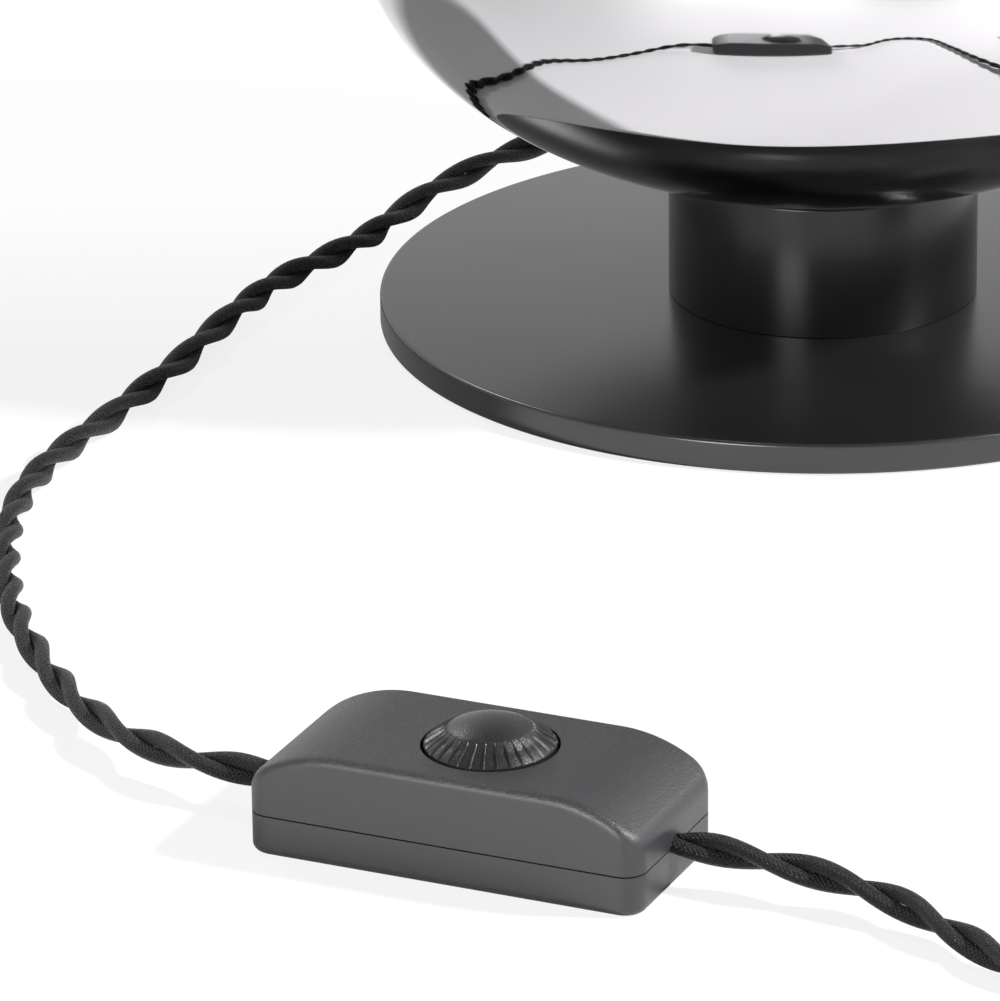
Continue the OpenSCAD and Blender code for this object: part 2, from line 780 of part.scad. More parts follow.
// The casing's outer form, or its hollow when drawn in by the wall
module casing_form(inset) {
    intersection() {
        translate([0, 0, -1]) linear_extrude(casing_h + 2)
            rounded_rect(
                casing_l - 2 * inset, casing_w - 2 * inset, max(casing_corner_r - inset, 0.5)
            );
        translate([0, casing_w / 2, 0]) rotate([90, 0, 0]) linear_extrude(casing_w)
            side_outline(inset);
        translate([-casing_l / 2, 0, 0]) rotate([90, 0, 90]) linear_extrude(casing_l)
            translate([0, casing_h / 2])
                rounded_rect(
                    casing_w - 2 * inset, casing_h - 2 * inset, max(casing_edge_r - inset, 0.4)
                );
    }
}

// Side view: flat on top in the middle, rolling down to both ends
module side_outline(inset) {
    half = casing_l / 2 - inset;
    tall = casing_h - 2 * inset;
    intersection() {
        union() {
            translate([-flat_half, inset]) square([2 * flat_half, tall]);
            for (s = [0, 1]) mirror([s, 0]) intersection() {
                translate([flat_half, casing_h - end_arc_r])
                    circle(end_arc_r - inset, $fn = 96);
                translate([flat_half - eps, inset]) square([half - flat_half + eps, tall]);
            }
        }
        translate([0, casing_h / 2])
            rounded_rect(2 * half, tall, max(casing_edge_r - inset, 0.4));
    }
}

module casing_cord_holes() {
    translate([0, 0, seam_h]) rotate([0, 90, 0])
        cylinder(d = cord_hole_d, h = casing_l + 2, center = true);
}

module at_casing_screws() {
    for (x = [-1, 1])
        for (y = [-1, 1])
            translate([x * casing_screw_x, y * casing_screw_y, 0]) children();
}

module at_clamp_screws() {
    for (x = [-1, 1])
        for (y = [-1, 1])
            translate([x * clamp_x, y * clamp_screw_y, 0]) children();
}

// Upper shell, with the knob's hole and four screw bosses
module dimmer_top_shell() {
    boss_z = seam_h + seam_gap / 2;
    color([0.07, 0.07, 0.075])
    at_dimmer() difference() {
        union() {
            difference() {
                casing_form(0);
                casing_form(casing_wall);
            }
            intersection() {
                casing_form(casing_wall / 2);
                at_casing_screws() cylinder(d = casing_boss_d, h = casing_h);
            }
        }
        translate([-casing_l, -casing_w, -casing_h])
            cube([2 * casing_l, 2 * casing_w, casing_h + boss_z]);
        translate([knob_shift, 0, 0]) cylinder(r = knob_d / 2 + knob_gap, h = 2 * casing_h);
        casing_cord_holes();
        at_casing_screws() cylinder(d = m25_d + 2 * running_fit, h = boss_z + m3_grip + fit);
    }
}

// Lower shell, with posts for the board, cord saddles and screw holes
module dimmer_bottom_shell() {
    seam_top = seam_h - seam_gap / 2;
    clamp_z = seam_h + cord_d / 2;
    head_depth = m25_head_h + fit;
    color([0.07, 0.07, 0.075])
    at_dimmer() difference() {
        union() {
            difference() {
                casing_form(0);
                casing_form(casing_wall);
                translate([-casing_l, -casing_w, seam_top])
                    cube([2 * casing_l, 2 * casing_w, casing_h]);
            }
            intersection() {
                casing_form(casing_wall / 2);
                union() {
                    at_casing_screws() cylinder(d = casing_boss_d, h = seam_top);
                    at_clamp_screws() cylinder(d = clamp_post_d, h = clamp_z);
                    for (x = [-1, 1])
                        for (y = [-1, 1])
                            translate([
                                x * (board_l / 2 - board_post_inset),
                                y * (board_w / 2 - board_post_inset), 0
                            ])
                                cylinder(d = board_post_d, h = board_z);
                    for (x = [-1, 1])
                        translate([x * clamp_x - saddle_w / 2, -cord_d / 2, 0])
                            cube([saddle_w, cord_d, seam_h - cord_d / 2]);
                }
            }
        }
        casing_cord_holes();
        at_casing_screws() {
            translate([0, 0, -eps]) cylinder(d = m25_head_d + 2 * fit, h = head_depth + eps);
            cylinder(d = m25_d + 2 * fit, h = casing_h);
        }
        at_clamp_screws()
            translate([0, 0, clamp_z - clamp_screw_l])
                cylinder(d = m25_d + 2 * running_fit, h = casing_h);
    }
}

module dimmer_board() {
    color([0.1, 0.3, 0.18])
    at_dimmer() translate([0, 0, board_z]) linear_extrude(board_t)
        rounded_rect(board_l, board_w, 1);
}

// Rotary control under the knob
module potentiometer() {
    color([0.35, 0.36, 0.38])
    at_dimmer() translate([knob_shift, 0, 0]) difference() {
        union() {
            translate([0, 0, board_top]) cylinder(d = pot_d, h = pot_h);
            translate([0, 0, board_top + pot_h - eps]) cylinder(d = bushing_d, h = bushing_h + eps);
        }
        translate([0, 0, shaft_seat]) cylinder(d = shaft_d + 2 * running_fit, h = casing_h);
    }
}

module pot_shaft() {
    color([0.7, 0.7, 0.72])
    at_dimmer() translate([knob_shift, 0, shaft_seat + running_fit])
        cylinder(d = shaft_d, h = shaft_top - shaft_seat - 2 * running_fit);
}

// Domed knob: smooth cap, ribbed cone, and a flange that keeps it in the casing
module dimmer_knob() {
    cap_half = asin(knob_cap_d / 2 / knob_cap_arc);
    cone_run = knob_d / 2 - knob_cap_d / 2;
    cone_tilt = atan(knob_cone_h / cone_run);
    cone_l = norm([cone_run, knob_cone_h]);
    color([0.06, 0.06, 0.065])
    at_dimmer() translate([knob_shift, 0, 0]) difference() {
        union() {
            rotate_extrude($fn = 96)
                polygon(concat(
                    [
                        [0, knob_bottom], [knob_flange_r, knob_bottom], [knob_flange_r, knob_under],
                        [knob_d / 2, knob_under], [knob_d / 2, knob_cone_z]
                    ],
                    [
                        for (i = [0:8])
                            let (t = cap_half * (1 - i / 8))
                            [knob_cap_arc * sin(t), knob_top - knob_cap_arc * (1 - cos(t))]
                    ]
                ));
            translate([0, 0, knob_hub_z]) cylinder(d = knob_hub_d, h = knob_bottom - knob_hub_z + eps);
        }
        translate([0, 0, knob_hub_z - eps])
            cylinder(d = shaft_d + 2 * running_fit, h = shaft_top - knob_hub_z + eps);
        for (k = [0:knob_groove_n - 1])
            rotate([0, 0, k * 360 / knob_groove_n])
                translate([knob_d / 2, 0, knob_cone_z])
                    rotate([0, -90 + cone_tilt, 0])
                        translate([0, 0, -1])
                            cylinder(d = knob_groove_w, h = cone_l + 0.6, $fn = 4);
    }
}

module dimmer_capacitor() {
    color([0.6, 0.3, 0.1])
    at_dimmer() translate([capacitor_at[0], capacitor_at[1], board_top]) cube(capacitor_size);
}

module dimmer_choke() {
    ring_r = (choke_d - choke_wire_d) / 2;
    color([0.7, 0.4, 0.2])
    at_dimmer() translate([choke_at[0], choke_at[1], board_top + choke_wire_d / 2])
        rotate_extrude() translate([ring_r, 0]) circle(d = choke_wire_d, $fn = 24);
}

module dimmer_triac() {
    color([0.1, 0.1, 0.1])
    at_dimmer() translate([triac_at[0], triac_at[1], board_top]) cube(triac_size);
}

module heat_sink() {
    color([0.75, 0.76, 0.78])
    at_dimmer()
        translate([
            triac_at[0] + (triac_size[0] - sink_w) / 2, triac_at[1] + triac_size[1], board_top
        ])
            cube([sink_w, sink_t, triac_size[2]]);
}

module dimmer_terminals() {
    color([0.2, 0.35, 0.25])
    at_dimmer() for (x = [-1, 1])
        translate([x * block_x - block_l / 2, -block_w / 2, board_top])
            cube([block_l, block_w, block_h]);
}

// Short wires from each cord end to its terminal block
module dimmer_leads() {
    face_x = block_x + block_l / 2;
    color([0.3, 0.2, 0.12])
    for (x = [-1, 1])
        for (y = [-1, 1])
            tube(
                [
                    on_dimmer(x * cord_end_x, y * strand_y, seam_h),
                    on_dimmer(x * face_x, y * strand_y, seam_h)
                ],
                lead_d, lead_sides
            );
}

module cord_clamps() {
    color([0.5, 0.5, 0.52])
    at_dimmer() for (x = [-1, 1])
        translate([x * clamp_x, 0, seam_h + cord_d / 2]) difference() {
            linear_extrude(clamp_t) rounded_rect(clamp_w, clamp_l, 1);
            for (y = [-1, 1])
                translate([0, y * clamp_screw_y, -eps])
                    cylinder(d = m25_d + 2 * fit, h = clamp_t + 2 * eps);
        }
}

module clamp_screws() {
    color([0.6, 0.6, 0.62])
    at_dimmer() at_clamp_screws()
        translate([0, 0, seam_h + cord_d / 2 + clamp_t])
            cap_screw(m25_d, clamp_screw_l + clamp_t - fit, m25_head_d, m25_head_h);
}

module casing_screws() {
    shank = seam_h + seam_gap / 2 + m3_grip - m25_head_h;
    color([0.6, 0.6, 0.62])
    at_dimmer() at_casing_screws()
        translate([0, 0, m25_head_h + fit]) mirror([0, 0, 1])
            cap_screw(m25_d, shank - fit, m25_head_d, m25_head_h);
}

module cord_lamp_side() {
    color([0.05, 0.05, 0.05])
    tube(cord_lamp_path, cord_d, cord_sides);
}

module cord_plug_side() {
    color([0.05, 0.05, 0.05])
    tube(cord_plug_path, cord_d, cord_sides);
}

module cord_coil() {
    color([0.05, 0.05, 0.05])
    tube(cord_coil_path, cord_d, coil_sides);
}

// Strap round all turns of the coil, at its back
module coil_tie() {
    quarter = coil_turn_steps / 4;
    in_r = coil_radius(coil_run_steps - quarter) - cord_d / 2;
    bow = pow(tie_w / 2, 2) / (2 * in_r);
    low_r = in_r - bow - tie_clear;
    high_r = coil_radius(quarter) + cord_d / 2 + tie_clear;
    inner_h = coil_high_z + cord_d / 2 + tie_clear - tie_t;
    color([0.1, 0.1, 0.11])
    translate([coil_x - tie_w / 2, coil_y + (low_r + high_r) / 2, tie_t + inner_h / 2])
        rotate([90, 0, 90]) linear_extrude(tie_w) difference() {
            rounded_rect(high_r - low_r + 2 * tie_t, inner_h + 2 * tie_t, tie_r);
            rounded_rect(high_r - low_r, inner_h, tie_r - tie_t);
        }
}

// Flat two-pin plug, lying on its side face, with a tapered sleeve for the cord
module plug_body() {
    grip_w = 13;
    front_w = 26;
    shoulder = 5;
    cheek = 13;
    groove = 0.8;
    color([0.06, 0.06, 0.06])
    translate([plug_x, plug_y, plug_z]) rotate([0, 0, -90]) {
        intersection() {
            translate([plug_sleeve_l, 0, -plug_t / 2]) linear_extrude(plug_t)
                polygon([
                    [0, -grip_w / 2], [plug_l - cheek, -plug_w / 2], [plug_l - shoulder, -plug_w / 2],
                    [plug_l, -front_w / 2], [plug_l, front_w / 2], [plug_l - shoulder, plug_w / 2],
                    [plug_l - cheek, plug_w / 2], [0, grip_w / 2]
                ]);
            translate([plug_sleeve_l, 0, 0]) rotate([90, 0, 90]) linear_extrude(plug_l)
                rounded_rect(plug_w, plug_t, 3);
        }
        rotate([0, 90, 0]) rotate_extrude($fn = 48)
            polygon([
                [0, 0], [cord_d / 2 + 1, 0],
                for (i = [1:4]) each [
                    [cord_d / 2 + 1 + 0.25 * i, 4 * i - 0.5], [cord_d / 2 + 1 + 0.25 * i - groove, 4 * i],
                    [cord_d / 2 + 1 + 0.25 * i - groove, 4 * i + 1], [cord_d / 2 + 1 + 0.25 * i, 4 * i + 1.5]
                ],
                [cord_d / 2 + 2.4, plug_sleeve_l], [0, plug_sleeve_l]
            ]);
    }
}

module plug_pins() {
    color([0.78, 0.78, 0.8])
    translate([plug_x, plug_y - plug_sleeve_l - plug_l, plug_z])
        for (x = [-1, 1])
            translate([x * pin_spacing / 2, 0, 0]) rotate([90, 0, 0]) {
                cylinder(d = pin_d, h = pin_l - pin_d / 2, $fn = 32);
                translate([0, 0, pin_l - pin_d / 2]) sphere(d = pin_d, $fn = 32);
            }
}

base_plate();
base_pad();
base_screws();
pedestal();
seat_ring();
cord_sleeve();
sleeve_nut();
holder_posts();
holder_body();
holder_screws();
screw_shell();
centre_contact();
holder_terminals();
terminal_screws();
inner_leads();
globe_glass();
bulb_glass();
bulb_cap();
bulb_insulator();
bulb_contact();
bulb_stem();
bulb_filaments();
dimmer_top_shell();
dimmer_bottom_shell();
dimmer_board();
potentiometer();
dimmer_capacitor();
dimmer_choke();
dimmer_triac();
heat_sink();
dimmer_terminals();
dimmer_leads();
cord_clamps();
clamp_screws();
casing_screws();
dimmer_knob();
pot_shaft();
cord_lamp_side();
cord_plug_side();
cord_coil();
coil_tie();
plug_body();
plug_pins();
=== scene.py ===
"""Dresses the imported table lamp: mirrored globe, satin black foot, twisted cord, dimmer and plug."""

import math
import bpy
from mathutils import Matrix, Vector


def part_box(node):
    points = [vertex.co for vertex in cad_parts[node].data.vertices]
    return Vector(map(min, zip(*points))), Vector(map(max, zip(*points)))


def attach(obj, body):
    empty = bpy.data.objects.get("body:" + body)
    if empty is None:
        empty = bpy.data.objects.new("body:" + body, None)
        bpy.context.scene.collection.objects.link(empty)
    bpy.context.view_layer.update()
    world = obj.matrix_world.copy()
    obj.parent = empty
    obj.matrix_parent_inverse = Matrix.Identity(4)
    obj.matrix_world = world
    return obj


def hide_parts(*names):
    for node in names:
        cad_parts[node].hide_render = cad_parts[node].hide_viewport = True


bl_info = {
    "name": "Mirrored Globe Lamp",
    "version": (1, 0, 0),
    "blender": (4, 5, 0),
    "location": "View3D > Sidebar > Lamp",
    "description": "Models and finishes the visible pieces of a table lamp over its packed frame",
    "category": "Add Mesh",
}

import bmesh
import bpy
import numpy as np
from bpy.props import FloatProperty, FloatVectorProperty, IntProperty, PointerProperty
from mathutils import Matrix, Vector

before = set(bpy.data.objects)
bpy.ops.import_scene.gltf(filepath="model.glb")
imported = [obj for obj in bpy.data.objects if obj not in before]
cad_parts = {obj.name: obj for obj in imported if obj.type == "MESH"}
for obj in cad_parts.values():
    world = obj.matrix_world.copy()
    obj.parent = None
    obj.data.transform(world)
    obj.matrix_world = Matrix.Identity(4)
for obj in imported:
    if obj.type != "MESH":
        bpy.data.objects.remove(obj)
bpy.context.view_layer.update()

MM = 0.001
MERGE_DISTANCE = 1e-7
BASE_LOW, BASE_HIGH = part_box("base_plate")
PAD_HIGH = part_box("base_pad")[1]
PEDESTAL_LOW, PEDESTAL_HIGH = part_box("pedestal")
SEAT_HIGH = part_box("seat_ring")[1]
GLOBE_LOW, GLOBE_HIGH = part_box("globe_glass")
SHELL_LOW, SHELL_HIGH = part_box("screw_shell")
BULB_CAP_LOW, BULB_CAP_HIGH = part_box("bulb_cap")
SLEEVE_LOW, SLEEVE_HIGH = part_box("cord_sleeve")
KNOB_LOW, KNOB_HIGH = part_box("dimmer_knob")
PLUG_LOW, PLUG_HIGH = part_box("plug_body")
TIE_LOW, TIE_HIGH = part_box("coil_tie")
PEDESTAL_WALL = 0.0025
# Pitch of the E27 thread
THREAD_PITCH = 0.003629
# Soft dents of the hand-blown globe: degrees from the front, height, spread in degrees, spread in
# height and depth, in millimetres
GLOBE_DENTS = [
    (-12, 99, 16, 25, 2.6), (-34, 102, 9, 14, 1.2), (-52, 90, 9, 14, 1), (46, 104, 16, 26, 2),
    (95, 96, 18, 24, 2.2), (150, 106, 22, 28, 2.6), (-160, 92, 16, 24, 2), (-105, 108, 20, 28, 2.4),
    (-60, 150, 24, 22, 2), (10, 158, 22, 20, 1.6), (75, 150, 26, 22, 2.2), (175, 155, 26, 22, 2),
]
DIMMER_PLACE = Vector((-0.078, -0.2935, 0.0))
DIMMER_TURN = math.radians(-24.3)
KNOB_SHIFT = 0.0024
# Roll-down of the casing's ends, and the roundings of its corners and edges
END_RUN = 0.019
END_DROP = 0.0073
CORNER_R = 0.0045
EDGE_R = 0.0018

# The cord's route from the pedestal to the dimmer, in millimetres
LAMP_ROUTE = [
    (-1, 70, 16), (-4, 83, 12.6), (-9, 96, 11.3), (-18, 108, 10), (-31, 117, 6.8),
    (-46, 119, 4.4), (-60, 113.5, 3.8), (-71, 103, 3.8), (-80, 91, 3.8), (-89, 77, 3.8),
    (-96.5, 61, 3.8), (-104, 45.5, 3.8), (-113, 32, 3.8), (-122.5, 18.5, 3.8),
    (-130.5, 2, 3.8), (-137.5, -15.5, 3.8), (-144, -34, 3.8), (-151.5, -52, 3.8),
    (-159, -69.5, 3.8), (-166.5, -85.5, 3.8), (-172.5, -102, 3.8), (-176, -120, 3.8),
    (-177, -139, 3.8), (-176, -158, 3.8), (-173.5, -177, 3.8), (-169, -196, 3.8),
    (-163, -215, 4), (-156, -233, 4.8), (-147.5, -249.5, 6.2), (-136, -264, 7.6),
]
# Turn of the strands along that route: run in millimetres and angle in degrees
LAMP_TURNS = [
    (0, 1300), (144, 150), (195, -220), (228, -570), (261, -940), (305, -1300), (344, -1660),
    (361, -1845), (458, -2995), (498, -3370), (545, -3750), (576, -4010),
]
# The cord's route from the dimmer to the coil, in millimetres
PLUG_ROUTE = [
    (-16, -321.7, 7.4), (-5, -327.5, 6.2), (4, -335.5, 5.2), (12, -345.5, 4.5), (19, -355, 4),
    (30, -365.5, 3.8), (45, -372.5, 3.8), (61, -374, 3.8), (77, -370, 3.8), (91, -361.5, 3.8),
    (101.5, -349, 3.8), (107, -334, 3.8), (109, -318, 3.8), (110, -302, 3.8), (111, -285, 3.8),
    (112, -267, 3.8), (112, -249, 3.8), (112, -231, 3.9), (112, -212, 4.2), (112, -193, 4.6),
]
# Height of the routes where the cord lies on the floor, in millimetres
ROUTE_REST = 3.8
COIL_MIDDLE = (160, -150)
# The tail from the coil to the plug: distance in millimetres, and share of the coil's height
COIL_TAIL = ((12, 1), (27, 0.8), (42, 0.3), (55, 0.02), (62.8, 0), (70, 0))
# Wires inside the pedestal, from the cord to the lamp holder, in millimetres
HOLDER_LEADS = [
    [
        (1.6, 25.25, 18.6), (1.6, 23.25, 18.6), (1, 19.25, 16.6), (-1, 14, 15.1), (-1.5, 12, 16.9),
        (-1.5, 12, 20.1),
    ],
    [
        (-1.6, 25.25, 18.6), (-1.6, 23.25, 18.6), (-3, 19.25, 16.2), (-4.6, 14, 15.1), (-4.6, 0, 14.5),
        (-4, -9, 14.5), (-1.5, -12, 16.9), (-1.5, -12, 20.1),
    ],
]
# A wire inside the dimmer: distances from the casing's middle, side and height, in millimetres
DIMMER_LEAD = (28, 26.3, 24.5)
LEAD_SIDE = 1.6
LEAD_HEIGHT = 8.4
LEAD_RADIUS = 0.0012

# Plain finishes: colour, roughness, metal, grain in cells per metre, strength of the bump, and how much
# the colour varies
PLAIN_FINISHES = {
    "plain_steel": ((0.55, 0.55, 0.57, 1), 0.32, 1, 2500, 0.04, 0.12),
    "plain_brass": ((0.72, 0.53, 0.22, 1), 0.28, 1, 2500, 0.04, 0.12),
    "plain_alloy": ((0.7, 0.7, 0.72, 1), 0.35, 1, 2000, 0.05, 0.12),
    "rolled_cap": ((0.7, 0.7, 0.71, 1), 0.3, 1, 2000, 0.05, 0.12),
    "plated_pin": ((0.75, 0.75, 0.77, 1), 0.18, 1, 2500, 0.02, 0.12),
    "glazed_ceramic": ((0.80, 0.78, 0.73, 1), 0.15, 0, 300, 0.03, 0.04),
    "foam_pad": ((0.03, 0.03, 0.03, 1), 0.9, 0, 1800, 0.5, 0.12),
    "black_silicone": ((0.02, 0.02, 0.02, 1), 0.55, 0, 1200, 0.05, 0.12),
    "black_rubber": ((0.022, 0.022, 0.023, 1), 0.5, 0, 2000, 0.1, 0.12),
    "moulded_plug": ((0.014, 0.014, 0.0145, 1), 0.42, 0, 2200, 0.15, 0.12),
    "brown_wire": ((0.13, 0.055, 0.03, 1), 0.42, 0, 1500, 0.03, 0.12),
    "blue_wire": ((0.03, 0.08, 0.22, 1), 0.42, 0, 1500, 0.03, 0.12),
    "circuit_board": ((0.04, 0.17, 0.08, 1), 0.4, 0, 900, 0.1, 0.12),
    "coated_part": ((0.45, 0.2, 0.06, 1), 0.4, 0, 900, 0.05, 0.12),
    "coated_rod": ((0.85, 0.62, 0.2, 1), 0.5, 0, 900, 0.05, 0.12),
}
# Small fittings that keep their CAD shape, by their finish
FITTINGS = {
    "plain_steel": (
        "base_screws", "sleeve_nut", "holder_screws", "terminal_screws", "potentiometer", "cord_clamps",
        "clamp_screws", "casing_screws", "pot_shaft",
    ),
    "plain_brass": ("holder_posts", "centre_contact", "holder_terminals"),
    "glazed_ceramic": ("holder_body",),
    "foam_pad": ("base_pad",),
    "black_silicone": ("seat_ring",),
    "black_rubber": ("cord_sleeve", "dimmer_triac", "bulb_insulator"),
    "circuit_board": ("dimmer_board", "dimmer_terminals"),
    "coated_part": ("dimmer_capacitor", "dimmer_choke"),
    "plain_alloy": ("heat_sink", "bulb_contact"),
}
STRAP_COLOUR = (0.012, 0.012, 0.013, 1)
GLASS_COLOUR = (0.96, 0.97, 0.96, 1)
WHITE = (1, 1, 1, 1)

# How white the camera sees the floor in front of the lamp, and behind it
FLOOR_NEAR_WHITE = 0.82
FLOOR_BACK_WHITE = 0.97
# Studio lamps: place, aim, size in metres and power in watts
SOFTBOXES = {
    "key_softbox": ((1.15, -0.42, 1.03), (0, -0.1, 0.05), 0.14, 50),
    "back_softbox": ((-0.9, 0.8, 1.2), (0, -0.1, 0.0), 0.4, 6),
    "front_softbox": ((-0.32, -0.7, 0.16), (-0.1, -0.34, 0.0), 0.25, 2.8),
}
# The camera's place, and its slope down and roll in degrees
CAMERA_PLACE = (-0.07345, -1.69733, 0.6289)
CAMERA_SLOPE = 21.636
CAMERA_ROLL = -0.674
STEPS = ("foot", "globe", "fittings", "bulb", "dimmer", "plug", "cords", "stage")


class LampSizes(bpy.types.PropertyGroup):
    """Sizes of the visible pieces"""

    base_edge: FloatProperty(
        name="Base edge", description="Rounding of the disc's edges",
        default=0.0008, unit="LENGTH",
    )
    globe_low: FloatProperty(
        name="Globe depth", description="Depth of the globe below its widest place",
        default=0.0645, unit="LENGTH",
    )
    globe_low_full: FloatProperty(
        name="Lower fullness", description="Fullness of the globe's lower half, 2 is an ellipse",
        default=2.05,
    )
    globe_up_full: FloatProperty(
        name="Upper fullness", description="Fullness of the globe's upper half, 2 is an ellipse",
        default=2.1,
    )
    glass_wall: FloatProperty(
        name="Glass wall", description="Thickness of the globe's glass",
        default=0.0026, unit="LENGTH",
    )
    neck_diameter: FloatProperty(
        name="Neck diameter", description="Outside diameter of the globe's neck",
        default=0.058, unit="LENGTH",
    )
    casing_length: FloatProperty(
        name="Casing length", description="Length of the dimmer's casing",
        default=0.082, unit="LENGTH",
    )
    casing_width: FloatProperty(
        name="Casing width", description="Width of the dimmer's casing",
        default=0.038, unit="LENGTH",
    )
    casing_height: FloatProperty(
        name="Casing height", description="Height of the dimmer's casing",
        default=0.0225, unit="LENGTH",
    )
    casing_wall: FloatProperty(
        name="Casing wall", description="Wall of the dimmer's casing",
        default=0.0022, unit="LENGTH",
    )
    seam_height: FloatProperty(
        name="Seam height", description="Height of the seam between the casing's shells",
        default=0.0084, unit="LENGTH",
    )
    seam_gap: FloatProperty(
        name="Seam gap", description="Width of the seam between the casing's shells",
        default=0.0003, unit="LENGTH",
    )
    knob_diameter: FloatProperty(
        name="Knob diameter", description="Diameter of the dimmer's knob",
        default=0.0256, unit="LENGTH",
    )
    knob_gap: FloatProperty(
        name="Knob gap", description="Gap around the knob in its hole",
        default=0.0007, unit="LENGTH",
    )
    knob_ribs: IntProperty(
        name="Knob ribs", description="Number of ribs around the knob",
        default=30,
    )
    strand_diameter: FloatProperty(
        name="Strand diameter", description="Diameter of one textile strand of the cord",
        default=0.0031, unit="LENGTH",
    )
    twist_pitch: FloatProperty(
        name="Twist pitch", description="Length over which the two strands turn once",
        default=0.0405, unit="LENGTH",
    )
    coil_radius: FloatProperty(
        name="Coil radius", description="Radius of the coil's outer turn",
        default=0.048, unit="LENGTH",
    )
    coil_step: FloatProperty(
        name="Coil step", description="Distance between the coil's turns",
        default=0.008, unit="LENGTH",
    )


class LampFinishes(bpy.types.PropertyGroup):
    """Colours of the visible pieces"""

    black_paint: FloatVectorProperty(
        name="Black paint", description="Paint of the disc and the pedestal",
        subtype="COLOR", size=4, default=(0.008, 0.0078, 0.0082, 1),
    )
    mirror: FloatVectorProperty(
        name="Mirror", description="Smoke-chrome coating of the globe",
        subtype="COLOR", size=4, default=(0.5, 0.49, 0.503, 1),
    )
    casing: FloatVectorProperty(
        name="Casing", description="Moulded plastic of the dimmer",
        subtype="COLOR", size=4, default=(0.018, 0.0185, 0.02, 1),
    )
    textile: FloatVectorProperty(
        name="Textile", description="Braid of the cord",
        subtype="COLOR", size=4, default=(0.005, 0.005, 0.005, 1),
    )
    floor: FloatVectorProperty(
        name="Floor", description="Plain floor of the stage",
        subtype="COLOR", size=4, default=(0.9, 0.9, 0.9, 1),
    )


def start_material(name):
    """A new material with its node tree and its shader"""
    material = bpy.data.materials.new(name)
    material.use_nodes = True
    return material, material.node_tree, material.node_tree.nodes["Principled BSDF"]


def set_values(node, **values):
    """Sets a node's own settings, or its sockets by name with spaces as underscores"""
    for key, value in values.items():
        if hasattr(node, key):
            setattr(node, key, value)
        else:
            node.inputs[key.replace("_", " ")].default_value = value


def add_node(tree, kind, *sources, **values):
    """Adds a node with its values, and links the sources to its first sockets"""
    node = tree.nodes.new(kind)
    set_values(node, **values)
    for source, socket in zip(sources, node.inputs):
        tree.links.new(source, socket)
    return node


def coordinates(tree, kind):
    """Texture coordinates of one kind"""
    return add_node(tree, "ShaderNodeTexCoord").outputs[kind]


def along_axis(tree, vector, axis):
    """The part of a vector along one axis"""
    return add_node(tree, "ShaderNodeSeparateXYZ", vector).outputs[axis]


def combine(tree, operation, first, second, clamp=False):
    """A sum, product or the like of two values"""
    return add_node(tree, "ShaderNodeMath", first, second, operation=operation, use_clamp=clamp).outputs[0]


def choose(tree, factor, first, second):
    """The first shader where the factor is 0, and the second where it is 1"""
    return add_node(tree, "ShaderNodeMixShader", factor, first, second).outputs[0]


def grain(tree, place, scale, detail=2.0):
    """A noise pattern of that scale, in cells per metre"""
    return add_node(tree, "ShaderNodeTexNoise", place, Scale=scale, Detail=detail).outputs["Fac"]


def bands(tree, place, direction, scale):
    """A pattern of even bands across one direction"""
    return add_node(tree, "ShaderNodeTexWave", place, bands_direction=direction, Scale=scale).outputs["Fac"]


def ramp(tree, value, start, end, low=0.0, high=1.0):
    """Goes from low to high between two values"""
    limits = {"From_Min": start, "From_Max": end, "To_Min": low, "To_Max": high}
    return add_node(tree, "ShaderNodeMapRange", value, **limits).outputs["Result"]


def spread(tree, pattern, low, high):
    """Maps the usual range of a pattern onto another"""
    return ramp(tree, pattern, 0.3, 0.7, low, high)


def shade(colour, factor):
    """The colour made lighter or darker"""
    return tuple(min(1.0, c * factor) for c in colour[:3]) + (1,)


def colour_by(tree, shader, pattern, colour, darker, lighter):
    """Colours a shader with two shades, mixed by a pattern"""
    node = add_node(tree, "ShaderNodeMix", pattern, data_type="RGBA")
    dark, light = [socket for socket in node.inputs if socket.type == "RGBA"]
    dark.default_value = shade(colour, darker)
    light.default_value = shade(colour, lighter)
    mixed = [socket for socket in node.outputs if socket.type == "RGBA"]
    tree.links.new(mixed[0], shader.inputs["Base Color"])


def rough_by(tree, shader, pattern, low, high):
    """Makes a shader rougher with a pattern, from low to high"""
    tree.links.new(spread(tree, pattern, low, high), shader.inputs["Roughness"])


def bump_by(tree, shader, pattern, strength, distance):
    """Bumps a shader by a pattern"""
    bump = add_node(tree, "ShaderNodeBump", Strength=strength, Distance=distance)
    tree.links.new(pattern, bump.inputs["Height"])
    tree.links.new(bump.outputs["Normal"], shader.inputs["Normal"])
    return bump


def plain_finish(name):
    """A finish with a fine grain: colour and roughness vary a little, and the surface is bumped"""
    colour, rough, metal, scale, bump, vary = PLAIN_FINISHES[name]
    material, tree, shader = start_material(name)
    place = coordinates(tree, "Object")
    fine = grain(tree, place, scale)
    cloud = grain(tree, place, scale=60)
    colour_by(tree, shader, cloud, colour, darker=1 - vary, lighter=1 + vary)
    rough_by(tree, shader, fine, low=max(0.02, rough - 0.06), high=rough + 0.06)
    set_values(shader, Metallic=metal)
    bump_by(tree, shader, fine, strength=bump, distance=0.0004)
    return material


def satin_paint(name, colour, rough, index):
    """Satin black paint on turned metal, with faint orange peel"""
    material, tree, shader = start_material(name)
    place = coordinates(tree, "Object")
    peel = grain(tree, place, scale=900)
    cloud = grain(tree, place, scale=25)
    colour_by(tree, shader, cloud, colour, darker=0.94, lighter=1.06)
    rough_by(tree, shader, cloud, low=rough - 0.015, high=rough + 0.015)
    set_values(shader, IOR=index)
    bump_by(tree, shader, peel, strength=0.012, distance=0.0002)
    return material


